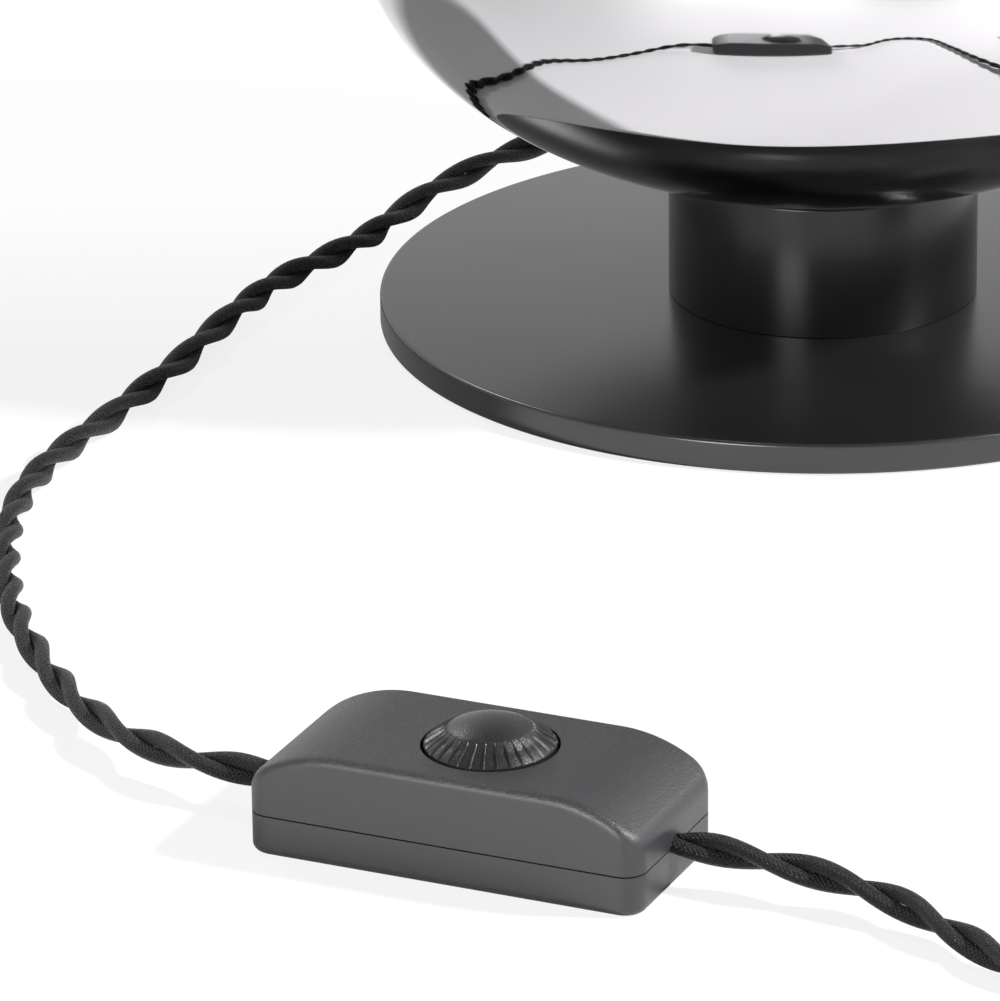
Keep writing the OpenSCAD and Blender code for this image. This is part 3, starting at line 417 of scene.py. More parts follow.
def smoke_mirror(colour):
    """Smoke-chrome mirror coating on blown glass, with a slow waviness"""
    material, tree, shader = start_material("smoke_chrome_mirror")
    place = coordinates(tree, "Object")
    wave = grain(tree, place, scale=14, detail=1)
    haze = grain(tree, place, scale=40)
    colour_by(tree, shader, haze, colour, darker=0.97, lighter=1.03)
    rough_by(tree, shader, haze, low=0.02, high=0.045)
    set_values(shader, Metallic=1)
    bump_by(tree, shader, wave, strength=0.05, distance=0.002)
    return material


def moulded_plastic(name, colour, rough, deep):
    """Moulded plastic with a fine spark-eroded grain on its upper side, and smoother walls"""
    material, tree, shader = start_material(name)
    place = coordinates(tree, "Object")
    fine = grain(tree, place, scale=3000, detail=1)
    speck = grain(tree, place, scale=900, detail=4)
    colour_by(tree, shader, speck, colour, darker=0.85, lighter=1.15)
    rough_by(tree, shader, fine, low=rough - 0.08, high=rough + 0.08)
    bump = bump_by(tree, shader, fine, strength=0.6, distance=deep)
    upward = along_axis(tree, coordinates(tree, "Normal"), "Z")
    tree.links.new(spread(tree, upward, low=0.06, high=0.6), bump.inputs["Strength"])
    return material


def braided_textile(colour):
    """Braided textile: crossing yarns drawn on the strand's own UV map, in braid cells"""
    material, tree, shader = start_material("braided_textile")
    cells = add_node(tree, "ShaderNodeUVMap", uv_map="braid").outputs["UV"]
    slanted = add_node(tree, "ShaderNodeMapping", cells, Rotation=(0, 0, math.pi / 4)).outputs["Vector"]
    across = bands(tree, slanted, "X", scale=math.pi / 10)
    along = bands(tree, slanted, "Y", scale=math.pi / 10)
    check = add_node(tree, "ShaderNodeTexChecker", slanted, Scale=1.0).outputs["Fac"]
    fluff = grain(tree, coordinates(tree, "Object"), scale=4000)
    yarn = combine(tree, "ADD", combine(tree, "MULTIPLY", across, along), fluff)
    colour_by(tree, shader, check, colour, darker=0.7, lighter=1.5)
    rough_by(tree, shader, fluff, low=0.3, high=0.55)
    set_values(shader, Specular_IOR_Level=0.22, Sheen_Weight=0.03, Sheen_Roughness=0.4)
    bump_by(tree, shader, yarn, strength=0.9, distance=0.0004)
    return material


def woven_strap():
    """Woven strap with a fine plain weave"""
    material, tree, shader = start_material("woven_strap")
    place = coordinates(tree, "Object")
    warp = bands(tree, place, "X", scale=320)
    weft = bands(tree, place, "Z", scale=320)
    weave = combine(tree, "MULTIPLY", warp, weft)
    colour_by(tree, shader, weave, STRAP_COLOUR, darker=0.6, lighter=1.5)
    set_values(shader, Roughness=0.75, Specular_IOR_Level=0.25, Sheen_Weight=0.08)
    bump_by(tree, shader, weave, strength=0.5, distance=0.0003)
    return material


def clear_glass():
    """Clear bulb glass with faint seeds"""
    material, tree, shader = start_material("clear_bulb_glass")
    seeds = grain(tree, coordinates(tree, "Object"), scale=90)
    rough_by(tree, shader, seeds, low=0.01, high=0.05)
    set_values(shader, Base_Color=GLASS_COLOUR, Transmission_Weight=0.95, IOR=1.3)
    return material


def mesh_of(bm, name):
    """A mesh made from a bmesh, which is freed"""
    mesh = bpy.data.meshes.new(name)
    bm.to_mesh(mesh)
    bm.free()
    return mesh


def add_object(name, data):
    """A new object in the scene"""
    item = bpy.data.objects.new(name, data)
    bpy.context.scene.collection.objects.link(item)
    return item


def add_piece(bm, name, material, body, nodes=(), sharp=None):
    """Makes a piece from a bmesh, with its place in its mesh, and lets it ride on a body"""
    bmesh.ops.remove_doubles(bm, verts=bm.verts, dist=MERGE_DISTANCE)
    bmesh.ops.recalc_face_normals(bm, faces=bm.faces)
    mesh = mesh_of(bm, name)
    mesh.shade_smooth()
    if sharp is not None:
        mesh.set_sharp_from_angle(angle=math.radians(sharp))
    mesh.materials.append(material)
    piece = add_object(name, mesh)
    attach(piece, body)
    if nodes:
        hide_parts(*nodes)
    return piece


def finish_node(node, material):
    """Gives a carried-over CAD node its finish"""
    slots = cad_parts[node].data.materials
    slots.clear()
    slots.append(material)


def spun(profile, steps, closed=True):
    """A bmesh turned about Z from a profile of radius and height"""
    bm = bmesh.new()
    corners = [bm.verts.new((r, 0, z)) for r, z in profile]
    edges = [bm.edges.new(pair) for pair in zip(corners, corners[1:])]
    if closed:
        edges.append(bm.edges.new((corners[-1], corners[0])))
    bmesh.ops.spin(
        bm, geom=corners + edges, cent=(0, 0, 0), axis=(0, 0, 1), dvec=(0, 0, 0),
        angle=2 * math.pi, steps=steps, use_merge=True,
    )
    bmesh.ops.remove_doubles(bm, verts=bm.verts, dist=MERGE_DISTANCE)
    return bm


def rounded(profile, radii, steps=5):
    """Rounds the corners of a closed profile; radii gives a radius for each corner"""
    out = []
    count = len(profile)
    for k, (corner, radius) in enumerate(zip(profile, radii)):
        here = Vector(corner)
        if radius <= 0:
            out.append(tuple(here))
            continue
        before = (Vector(profile[k - 1]) - here).normalized()
        after = (Vector(profile[(k + 1) % count]) - here).normalized()
        half = before.angle(after) / 2
        reach = radius / math.tan(half)
        centre = here + (before + after).normalized() * (radius / math.sin(half))
        start = here + before * reach - centre
        end = here + after * reach - centre
        turn = start.angle_signed(end)
        for i in range(steps + 1):
            a = -turn * i / steps
            x = start.x * math.cos(a) - start.y * math.sin(a)
            y = start.x * math.sin(a) + start.y * math.cos(a)
            out.append((centre.x + x, centre.y + y))
    return out


def extrude(bm, faces, vec):
    """Extrudes faces along a vector"""
    grown = bmesh.ops.extrude_face_region(bm, geom=faces)["geom"]
    verts = [item for item in grown if isinstance(item, bmesh.types.BMVert)]
    bmesh.ops.translate(bm, vec=vec, verts=verts)


def soften(bm, edges, offset, segments):
    """Rounds edges with a bevel"""
    bmesh.ops.bevel(
        bm, geom=list(edges), offset=offset, offset_type="OFFSET", segments=segments, profile=0.5,
        affect="EDGES", material=-1,
    )


def press_in(vert, depth):
    """Moves a vertex towards the Z axis"""
    keep = max(0.0, 1 - depth / math.hypot(vert.co.x, vert.co.y))
    vert.co.x *= keep
    vert.co.y *= keep


def thread_wave(vert, low):
    """Rise and fall, from -1 to 1, of an E27 thread that starts at a height"""
    return math.sin(2 * math.pi * (vert.co.z - low) / THREAD_PITCH - math.atan2(vert.co.y, vert.co.x))


def dimmer_frame():
    """Places a piece drawn about the casing's middle"""
    return Matrix.Translation(DIMMER_PLACE) @ Matrix.Rotation(DIMMER_TURN, 4, "Z")


def on_dimmer(x, y, z):
    """A point on the dimmer, in the lamp's own axes"""
    return dimmer_frame() @ Vector((x, y, z))


def lay_wire(name, routes, material, node):
    """Insulated wire along one or more routes, as a mesh made from a round curve"""
    curve = bpy.data.curves.new(name, "CURVE")
    curve.dimensions = "3D"
    curve.bevel_depth = LEAD_RADIUS
    curve.bevel_resolution = 4
    curve.resolution_u = 8
    curve.use_fill_caps = True
    for route in routes:
        spline = curve.splines.new("NURBS")
        spline.points.add(len(route) - 1)
        spline.order_u = 3
        spline.use_endpoint_u = True
        for point, place in zip(spline.points, route):
            point.co = (*place, 1)
    shape = bpy.data.objects.new(name + "_curve", curve)
    bm = bmesh.new()
    bm.from_mesh(shape.to_mesh())
    shape.to_mesh_clear()
    bpy.data.objects.remove(shape)
    bpy.data.curves.remove(curve)
    add_piece(bm, name, material, "root", [node])


class LAMP_OT_foot(bpy.types.Operator):
    """Base disc and pedestal in satin black, with the pedestal's paint darkened as painted shade"""

    bl_idname = "lamp.foot"
    bl_label = "Foot"

    def execute(self, context):
        edge = context.scene.lamp_sizes.base_edge
        colour = context.scene.lamp_finishes.black_paint
        paint = satin_paint("satin_base_paint", colour, rough=0.245, index=1.6)
        # The pedestal's paint is a darker, less reflective copy of the disc's paint: painted shade for the
        # globe's shadow over the pedestal
        shaded_paint = satin_paint("satin_pedestal_painted_shade", shade(colour, 0.6), rough=0.25, index=1.4)
        pad_gap, pad_edge = 0.0002, 0.0003
        radius, low, high = BASE_HIGH.x, BASE_LOW.z, BASE_HIGH.z
        recess_r, recess = PAD_HIGH.x + pad_gap, PAD_HIGH.z
        disc = rounded(
            [(recess_r, low), (radius, low), (radius, high), (0.0, high), (0.0, recess), (recess_r, recess)],
            [pad_edge, edge, edge, 0, 0, 0],
        )
        add_piece(spun(disc, steps=256), "base_disc", paint, "root", ["base_plate"], sharp=40)
        foot_edge, rim_edge, inner_edge, fillet = 0.0002, 0.0005, 0.0003, 0.001
        outer, inner = PEDESTAL_HIGH.x, PEDESTAL_HIGH.x - PEDESTAL_WALL
        foot, rim = PEDESTAL_LOW.z, PEDESTAL_HIGH.z
        deck = foot + 0.005
        cup = rounded(
            [(0.0, foot), (outer, foot), (outer, rim), (inner, rim), (inner, deck), (0.0, deck)],
            [0, foot_edge, rim_edge, inner_edge, fillet, 0],
        )
        add_piece(spun(cup, steps=192), "pedestal_cup", shaded_paint, "root", ["pedestal"], sharp=40)
        return {"FINISHED"}


class LAMP_OT_globe(bpy.types.Operator):
    """Mirrored glass globe with its neck"""

    bl_idname = "lamp.globe"
    bl_label = "Globe"

    def execute(self, context):
        sizes = context.scene.lamp_sizes
        wide, bottom = GLOBE_HIGH.x, GLOBE_LOW.z
        wall = sizes.glass_wall
        neck = sizes.neck_diameter / 2
        low_h = sizes.globe_low
        mid = self.widest(sizes, wide, low_h)
        up_h = GLOBE_HIGH.z - mid
        outer = self.half(sizes, wide, low_h, up_h, neck, mid)
        inner = self.half(sizes, wide - wall, low_h - wall, up_h - wall, neck - wall, mid)
        lip = bottom + 0.0005
        mouth = [(neck - wall, lip), (neck - wall / 2, bottom), (neck, lip)]
        bm = spun(mouth + outer + inner[::-1], steps=256)
        self.dent(bm)
        mirror = smoke_mirror(context.scene.lamp_finishes.mirror)
        add_piece(bm, "globe", mirror, "globe", ["globe_glass"], sharp=50)
        return {"FINISHED"}

    def dent(self, bm):
        """Presses the soft dents of blown glass into both walls, less and less towards the poles"""
        calm_r = 0.06
        for vert in bm.verts:
            r = math.hypot(vert.co.x, vert.co.y)
            if r < 1e-6:
                continue
            around = math.degrees(math.atan2(vert.co.x, -vert.co.y))
            press = 0.0
            for place, height, wide, tall, depth in GLOBE_DENTS:
                turn = (around - place + 180) % 360 - 180
                rise = vert.co.z / MM - height
                press += depth * MM * math.exp(-((turn / wide) ** 2) - (rise / tall) ** 2)
            press_in(vert, press * min(1.0, r / calm_r))

    def widest(self, sizes, wide, low_h):
        """Height of the widest place, with the glass just above the inner edge of the seat ring"""
        overhang, clear = 0.0008, 0.0003
        seat_r = PEDESTAL_HIGH.x - PEDESTAL_WALL - overhang
        full = sizes.globe_low_full
        sag = low_h * (1 - (1 - (seat_r / wide) ** full) ** (1 / full))
        return SEAT_HIGH.z + clear - sag + low_h

    def half(self, sizes, wide, low_h, up_h, start, mid):
        """Profile points from the neck up to the pole"""
        full, up_full = sizes.globe_low_full, sizes.globe_up_full
        low_rows, up_rows = 72, 60
        first = math.asin((start / wide) ** (full / 2))
        points = []
        for i in range(low_rows + 1):
            t = first + (math.pi / 2 - first) * i / low_rows
            r = wide * math.sin(t) ** (2 / full)
            z = mid - low_h * max(0.0, math.cos(t)) ** (2 / full)
            points.append((r, z))
        for i in range(1, up_rows + 1):
            t = math.pi / 2 * i / up_rows
            r = wide * max(0.0, math.cos(t)) ** (2 / up_full)
            z = mid + up_h * math.sin(t) ** (2 / up_full)
            points.append((r if i < up_rows else 0.0, z))
        return points


class LAMP_OT_fittings(bpy.types.Operator):
    """Small fittings, the wires and the lamp holder's screw shell"""

    bl_idname = "lamp.fittings"
    bl_label = "Fittings"

    def execute(self, context):
        finishes = {name: plain_finish(name) for name in FITTINGS}
        for name, nodes in FITTINGS.items():
            for node in nodes:
                finish_node(node, finishes[name])
        self.leads()
        self.shell(finishes["plain_brass"])
        return {"FINISHED"}

    def leads(self):
        """Wires from the cord to the holder, and from both cords to the dimmer's board"""
        brown, blue = plain_finish("brown_wire"), plain_finish("blue_wire")
        wires = (("live", brown, LEAD_SIDE), ("return", blue, -LEAD_SIDE))
        for (name, material, _), route in zip(wires, HOLDER_LEADS):
            lay_wire("holder_lead_" + name, [[Vector(p) * MM for p in route]], material, "inner_leads")
        for name, material, side in wires:
            y, z = side * MM, LEAD_HEIGHT * MM
            routes = [[on_dimmer(end * x * MM, y, z) for x in DIMMER_LEAD] for end in (-1, 1)]
            lay_wire("dimmer_lead_" + name, routes, material, "dimmer_leads")

    def shell(self, brass):
        """Rolled thread of the lamp holder"""
        low, high = SHELL_LOW.z, SHELL_HIGH.z
        wall, depth, fade = 0.0005, 0.0002, 0.002
        outer = SHELL_HIGH.x - depth
        rows = 60
        heights = [low + (high - low) * i / rows for i in range(rows + 1)]
        bm = spun([(outer, z) for z in heights] + [(outer - wall, z) for z in heights[::-1]], steps=96)
        for vert in bm.verts:
            ease = min(1.0, (vert.co.z - low) / fade, (high - vert.co.z) / fade)
            press_in(vert, -depth * ease * thread_wave(vert, low))
        add_piece(bm, "rolled_screw_shell", brass, "root", ["screw_shell"], sharp=50)


class LAMP_OT_bulb(bpy.types.Operator):
    """Bulb with a rolled screw cap"""

    bl_idname = "lamp.bulb"
    bl_label = "Bulb"

    def execute(self, context):
        glass, alloy = clear_glass(), plain_finish("rolled_cap")
        finish_node("bulb_glass", glass)
        finish_node("bulb_stem", glass)
        finish_node("bulb_filaments", plain_finish("coated_rod"))
        low, high = BULB_CAP_LOW.z, BULB_CAP_HIGH.z
        outer = BULB_CAP_HIGH.x
        inner, mouth, fold = outer - 0.0022, 0.0112, high - 0.0008
        depth, low_fade, high_fade = 0.0009, 0.002, 0.004
        rows = 60
        side = [(outer, low + (high - low) * i / rows) for i in range(rows + 1)]
        bm = spun([(inner, low)] + side + [(mouth, high), (mouth, fold), (inner, fold)], steps=96)
        for vert in bm.verts:
            if math.hypot(vert.co.x, vert.co.y) > outer - 0.0001:
                ease = max(0.0, min(1.0, (vert.co.z - low) / low_fade, (high - vert.co.z) / high_fade))
                press_in(vert, depth * ease * (0.5 + 0.5 * thread_wave(vert, low)))
        add_piece(bm, "rolled_screw_cap", alloy, "bulb", ["bulb_cap"], sharp=50)
        return {"FINISHED"}


def rounded_and(a, b, radius):
    """Distance to where two forms meet, with a rounded edge"""
    inside = np.minimum(np.maximum(a, b), -radius)
    return inside + np.hypot(np.maximum(a + radius, 0), np.maximum(b + radius, 0))


def casing_distance(points, sizes, inset):
    """Signed distance of points to the casing's form, drawn in by inset"""
    half_l = sizes.casing_length / 2
    half_w = sizes.casing_width / 2
    tall = sizes.casing_height
    x, y, z = np.abs(points[:, 0]), np.abs(points[:, 1]), points[:, 2]
    corner = np.maximum(np.stack([x - half_l + CORNER_R, y - half_w + CORNER_R]), 0)
    deep = np.minimum(np.maximum(x - half_l, y - half_w) + CORNER_R, 0)
    plan = np.hypot(corner[0], corner[1]) + deep - CORNER_R
    arc = (END_RUN**2 + END_DROP**2) / (2 * END_DROP)
    past = np.maximum(x - (half_l - END_RUN), 0)
    top = np.where(past > 0, np.hypot(past, z - tall + arc) - arc, z - tall)
    upper = rounded_and(plan, top, EDGE_R)
    return rounded_and(upper, -z, EDGE_R) + inset


def casing_form(sizes, inset):
    """A fine cube drawn onto the casing's form, a share of the way in each round"""
    cuts, rounds, share, step = 60, 12, 0.9, 1e-5
    bm = bmesh.new()
    bmesh.ops.create_cube(bm, size=2.0)
    bmesh.ops.subdivide_edges(bm, edges=bm.edges, cuts=cuts, use_grid_fill=True)
    half = np.array((sizes.casing_length, sizes.casing_width, sizes.casing_height)) / 2
    points = np.sin(np.array([tuple(v.co) for v in bm.verts]) * math.pi / 2)
    points = points * half + np.array((0, 0, half[2]))
    for _ in range(rounds):
        slope = np.stack(
            [
                casing_distance(points + step * axis, sizes, inset)
                - casing_distance(points - step * axis, sizes, inset)
                for axis in np.eye(3)
            ],
            axis=1,
        )
        length = np.maximum(np.linalg.norm(slope, axis=1, keepdims=True), 1e-9)
        away = casing_distance(points, sizes, inset)[:, None]
        points = points - share * away * slope / length
    for vert, point in zip(bm.verts, points):
        vert.co = point
    return bm


def casing_shell(sizes, upper):
    """One shell of the casing, hollow, cut at the seam"""
    bm = casing_form(sizes, 0.0)
    hollow = casing_form(sizes, sizes.casing_wall)
    bmesh.ops.reverse_faces(hollow, faces=hollow.faces)
    mesh = mesh_of(hollow, "hollow")
    bm.from_mesh(mesh)
    bpy.data.meshes.remove(mesh)
    lift = sizes.seam_gap / 2 if upper else -sizes.seam_gap / 2
    bmesh.ops.bisect_plane(
        bm, geom=bm.verts[:] + bm.edges[:] + bm.faces[:], dist=1e-8,
        plane_co=(0, 0, sizes.seam_height + lift), plane_no=(0, 0, 1),
        clear_inner=upper, clear_outer=not upper,
    )
    rim = [edge for edge in bm.edges if edge.is_boundary]
    bmesh.ops.bridge_loops(bm, edges=rim)
    return bm


def cut_round(bm, place, direction, radius, length):
    """Cuts a round hole through a closed bmesh; returns the new one"""
    tool = bmesh.new()
    turn = direction.to_track_quat("Z", "Y").to_matrix().to_4x4()
    bmesh.ops.create_cone(
        tool, cap_ends=True, segments=96, radius1=radius, radius2=radius, depth=length,
        matrix=Matrix.Translation(place) @ turn,
    )
    objects = []
    for shape, name in ((bm, "cut_from"), (tool, "cut_by")):
        bmesh.ops.recalc_face_normals(shape, faces=shape.faces)
        objects.append(add_object(name, mesh_of(shape, name)))
    cut = objects[0].modifiers.new("cut", "BOOLEAN")
    cut.operation = "DIFFERENCE"
    cut.solver = "EXACT"
    cut.object = objects[1]
    bpy.context.view_layer.update()
    done = objects[0].evaluated_get(bpy.context.evaluated_depsgraph_get()).to_mesh()
    out = bmesh.new()
    out.from_mesh(done)
    for item in objects:
        mesh = item.data
        bpy.data.objects.remove(item)
        bpy.data.meshes.remove(mesh)
    return out


class LAMP_OT_dimmer(bpy.types.Operator):
    """Moulded casing and ribbed knob of the dimmer"""

    bl_idname = "lamp.dimmer"
    bl_label = "Dimmer"

    def execute(self, context):
        sizes = context.scene.lamp_sizes
        colour = context.scene.lamp_finishes.casing
        plastic = moulded_plastic("moulded_casing", colour, rough=0.46, deep=0.0003)
        satin = moulded_plastic("moulded_knob", shade(colour, 0.55), rough=0.36, deep=0.00012)
        cord_r = 0.6 * sizes.strand_diameter
        knob_r = sizes.knob_diameter / 2 + sizes.knob_gap
        along, up = Vector((1, 0, 0)), Vector((0, 0, 1))
        seam, top = Vector((0, 0, sizes.seam_height)), Vector((KNOB_SHIFT, 0, sizes.casing_height))
        lower = cut_round(casing_shell(sizes, False), seam, along, cord_r, length=0.1)
        upper = cut_round(casing_shell(sizes, True), seam, along, cord_r, length=0.1)
        upper = cut_round(upper, top, up, knob_r, length=0.01)
        shells = ((lower, "casing_bottom", "dimmer_bottom_shell"), (upper, "casing_top", "dimmer_top_shell"))
        for bm, name, node in shells:
            bmesh.ops.transform(bm, matrix=dimmer_frame(), verts=bm.verts)
            add_piece(bm, name, plastic, "root", [node], sharp=50)
        knob = self.knob(sizes)
        bmesh.ops.transform(knob, matrix=dimmer_frame(), verts=knob.verts)
        add_piece(knob, "ribbed_knob", satin, "knob", ["dimmer_knob"], sharp=25)
        return {"FINISHED"}

    def knob(self, sizes):
        """Domed knob: smooth cap, cone with thin ribs, and a flange below"""
        rim = sizes.knob_diameter / 2
        low, top = KNOB_LOW.z, KNOB_HIGH.z
        cap_r, cap_h, cone_h, bulge = 0.0079, 0.0018, 0.0029, 0.00035
        cone_r, cone_z = rim - 0.0003, top - cap_h - cone_h
        bore, hub = 0.003, 0.005
        flange_r, flange_low, flange_top = rim + 0.0016, 0.0189, 0.0199
        rib_depth, fade = 0.0006, 0.002
        cone_rows, cap_rows, columns = 18, 16, 12
        side = [(bore, low), (hub, low), (hub, flange_low), (flange_r, flange_low)]
        side += [(flange_r, flange_top), (rim, flange_top), (rim, cone_z - rib_depth)]
        cone = []
        for i in range(cone_rows + 1):
            t = i / cone_rows
            r = cone_r + (cap_r - cone_r) * t + bulge * math.sin(math.pi * t)
            cone.append((r, cone_z + cone_h * t))
        cap = []
        arc = (cap_r**2 + cap_h**2) / (2 * cap_h)
        half = math.asin(cap_r / arc)
        for i in range(1, cap_rows + 1):
            t = half * (1 - i / cap_rows)
            cap.append((arc * math.sin(t) if i < cap_rows else 0.0, top - arc * (1 - math.cos(t))))
        bm = spun(side + cone + cap, steps=sizes.knob_ribs * columns, closed=False)
        for vert in bm.verts:
            r = math.hypot(vert.co.x, vert.co.y)
            if vert.co.z < cone_z - rib_depth / 2 or r < cap_r:
                continue
            turn = math.atan2(vert.co.y, vert.co.x) * sizes.knob_ribs / (2 * math.pi)
            rib = max(0.0, 1 - columns * abs(turn - round(turn)))
            vert.co.z -= rib_depth * (1 - rib) * min(1.0, (r - cap_r) / fade)
        bmesh.ops.translate(bm, vec=(KNOB_SHIFT, 0, 0), verts=bm.verts)
        return bm


def coil_levels(sizes):
    """Heights of the coil's two layers"""
    floor_gap, layer_gap = 0.0012, 0.0006
    thick = 2 * sizes.strand_diameter
    low = thick / 2 + floor_gap
    return low, low + thick + layer_gap


class LAMP_OT_plug(bpy.types.Operator):
    """Moulded plug, its pins and the strap of the coil"""

    bl_idname = "lamp.plug"
    bl_label = "Plug and strap"

    def execute(self, context):
        rubber = plain_finish("moulded_plug")
        finish_node("plug_pins", plain_finish("plated_pin"))
        middle = Vector(((PLUG_LOW.x + PLUG_HIGH.x) / 2, PLUG_HIGH.y, (PLUG_LOW.z + PLUG_HIGH.z) / 2))
        place = Matrix.Translation(middle) @ Matrix.Rotation(math.radians(90), 4, "X")
        for bm, name in ((self.case(), "plug_case"), (self.grip(), "plug_grip")):
            bmesh.ops.transform(bm, matrix=place, verts=bm.verts)
            add_piece(bm, name, rubber, "root", ["plug_body"], sharp=40)
        strap = self.strap(context.scene.lamp_sizes)
        add_piece(strap, "coil_strap", woven_strap(), "root", ["coil_tie"], sharp=40)
        return {"FINISHED"}

    def case(self):
        """Flat body of the plug, drawn along Z from the grip to the pins"""
        wide = (PLUG_HIGH.x - PLUG_LOW.x) / 2
        thick = (PLUG_HIGH.z - PLUG_LOW.z) / 2
        start, end = 0.022, PLUG_HIGH.y - PLUG_LOW.y
        shoulder, chamfer = end - 0.013, end - 0.005
        half_grip, half_face = 0.0065, 0.013
        small, large = 0.0032, 0.006
        plan = rounded(
            [
                (-half_grip, start), (half_grip, start), (wide, shoulder), (wide, chamfer),
                (half_face, end), (-half_face, end), (-wide, chamfer), (-wide, shoulder),
            ],
            [small, small, large, small, small, small, small, large], steps=6,
        )
        bm = bmesh.new()
        face = bm.faces.new([bm.verts.new((x, -thick, z)) for x, z in plan])
        extrude(bm, [face], (0, 2 * thick, 0))
        rims = [edge for edge in bm.edges if abs(edge.verts[0].co.y - edge.verts[1].co.y) < 1e-6]
        soften(bm, rims, offset=0.0024, segments=5)
        return bm

    def grip(self):
        """Ribbed sleeve that the cord leaves the plug by"""
        tip, root, length = 0.0036, 0.006, 0.0225
        first_r, grow, depth = 0.0046, 0.0003, 0.0007
        first_z, pitch, slope, rib = 0.0004, 0.0042, 0.0006, 0.0034
        profile = [(0.0, 0.0), (tip, 0.0)]
        for i in range(5):
            r, low = first_r + grow * i, first_z + pitch * i
            high = low + rib
            profile += [(r - depth, low), (r, low + slope), (r, high - slope), (r - depth, high)]
        profile += [(root, length), (0.0, length)]
        return spun(profile, steps=64, closed=False)

    def strap(self, sizes):
        """Band round the coil, with its free end laid over the top"""
        wall, side_gap, top_gap, corner = 0.0008, 0.0004, 0.0003, 0.0025
        near, far = TIE_LOW.y + side_gap, TIE_HIGH.y - side_gap
        wide, span = TIE_HIGH.x - TIE_LOW.x, far - near
        top = coil_levels(sizes)[1] + sizes.strand_diameter + wall + top_gap
        outline = rounded([(near, 0), (far, 0), (far, top), (near, top)], [corner] * 4, steps=8)
        bm = bmesh.new()
        face = bm.faces.new([bm.verts.new((TIE_LOW.x, y, z)) for y, z in outline])
        band = bmesh.ops.inset_region(bm, faces=[face], thickness=wall, use_even_offset=True)["faces"]
        bmesh.ops.delete(bm, geom=[face], context="FACES")
        extrude(bm, band, (wide, 0, 0))
        sharp = 1.2
        rims = [edge for edge in bm.edges if len(edge.link_faces) == 2 and edge.calc_face_angle() > sharp]
        soften(bm, rims, offset=0.0002, segments=2)
        flap = bmesh.ops.create_cube(bm, size=1.0)["verts"]
        size = Vector((wide - 0.0006, span * 0.7, wall))
        shift = Vector(((TIE_LOW.x + TIE_HIGH.x) / 2, near + span * 0.42, top + wall / 2))
        for vert in flap:
            vert.co = Vector(a * b for a, b in zip(vert.co, size)) + shift
        soften(bm, {edge for vert in flap for edge in vert.link_edges}, offset=0.00025, segments=2)
        return bm


def unit_rows(rows):
    """Each row made one long"""
    return rows / np.linalg.norm(rows, axis=1, keepdims=True)


def between(s, start, first, end, second):
    """The point at s on the line from the first point, at start, to the second, at end"""
    return (end - s) / (end - start) * first + (s - start) / (end - start) * second


def smooth_route(points, step):
    """Even points along a smooth curve through a route, and its length"""
    pieces = 24
    route = np.array([tuple(p) for p in points], float)
    before = 2 * route[0] - route[1]
    after = 2 * route[-1] - route[-2]
    padded = np.vstack([before, route, after])
    fine = []
    for k in range(1, len(padded) - 2):
        p0, p1, p2, p3 = padded[k - 1:k + 3]
        t1 = math.sqrt(np.linalg.norm(p1 - p0))
        t2 = t1 + math.sqrt(np.linalg.norm(p2 - p1))
        t3 = t2 + math.sqrt(np.linalg.norm(p3 - p2))
        for s in np.linspace(t1, t2, pieces, endpoint=False):
            a1 = between(s, 0.0, p0, t1, p1)
            a2 = between(s, t1, p1, t2, p2)
            a3 = between(s, t2, p2, t3, p3)
            b1 = between(s, 0.0, a1, t2, a2)
            b2 = between(s, t1, a2, t3, a3)
            fine.append(between(s, t1, b1, t2, b2))
    fine.append(route[-1])
    fine = np.array(fine)
    run = np.concatenate([[0], np.cumsum(np.linalg.norm(np.diff(fine, axis=0), axis=1))])
    count = max(2, int(round(run[-1] / step)))
    even = np.linspace(0, run[-1], count + 1)
    return np.stack([np.interp(even, run, fine[:, k]) for k in range(3)], axis=1), run[-1]


def add_strand(bm, braid, middle, top, run, radius):
    """Adds one strand as a closed tube, with the braid's cells on its UV map"""
    sides, cells = 16, 14
    lean = unit_rows(np.gradient(middle, axis=0))
    across = unit_rows(np.cross(lean, top))
    upright = np.cross(across, lean)
    angles = [2 * math.pi * k / sides for k in range(sides)]
    rings = [
        [bm.verts.new(centre + radius * (math.cos(a) * right + math.sin(a) * up)) for a in angles]
        for centre, right, up in zip(middle, across, upright)
    ]
    scale = cells / (2 * math.pi * radius)
    for i in range(len(rings) - 1):
        low, high = run[i] * scale, run[i + 1] * scale
        for k in range(sides):
            n = (k + 1) % sides
            face = bm.faces.new((rings[i][k], rings[i + 1][k], rings[i + 1][n], rings[i][n]))
            first, last = cells * k / sides, cells * (k + 1) / sides
            corners = ((low, first), (high, first), (high, last), (low, last))
            for loop, corner in zip(face.loops, corners):
                loop[braid].uv = corner
    for ring in (rings[0], rings[-1]):
        bm.faces.new(ring)


def twisted_pair(name, route, turns, sizes, material):
    """Two braided strands turned about each other along a route; returns the piece, path and length"""
    path, length = smooth_route(route, step=0.0016)
    ahead = unit_rows(np.gradient(path, axis=0))
    side = unit_rows(np.cross(ahead, (0, 0, 1)))
    top = np.cross(side, ahead)
    run = np.linspace(0, length, len(path))
    radius = sizes.strand_diameter / 2
    around = np.radians(np.interp(run / MM, [t[0] for t in turns], [t[1] for t in turns]))
    bm = bmesh.new()
    braid = bm.loops.layers.uv.new("braid")
    for turn in (around, around + math.pi):
        middle = path + radius * (np.cos(turn)[:, None] * side + np.sin(turn)[:, None] * top)
        add_strand(bm, braid, middle, top, run, radius)
    return add_piece(bm, name, material, "root"), path, length


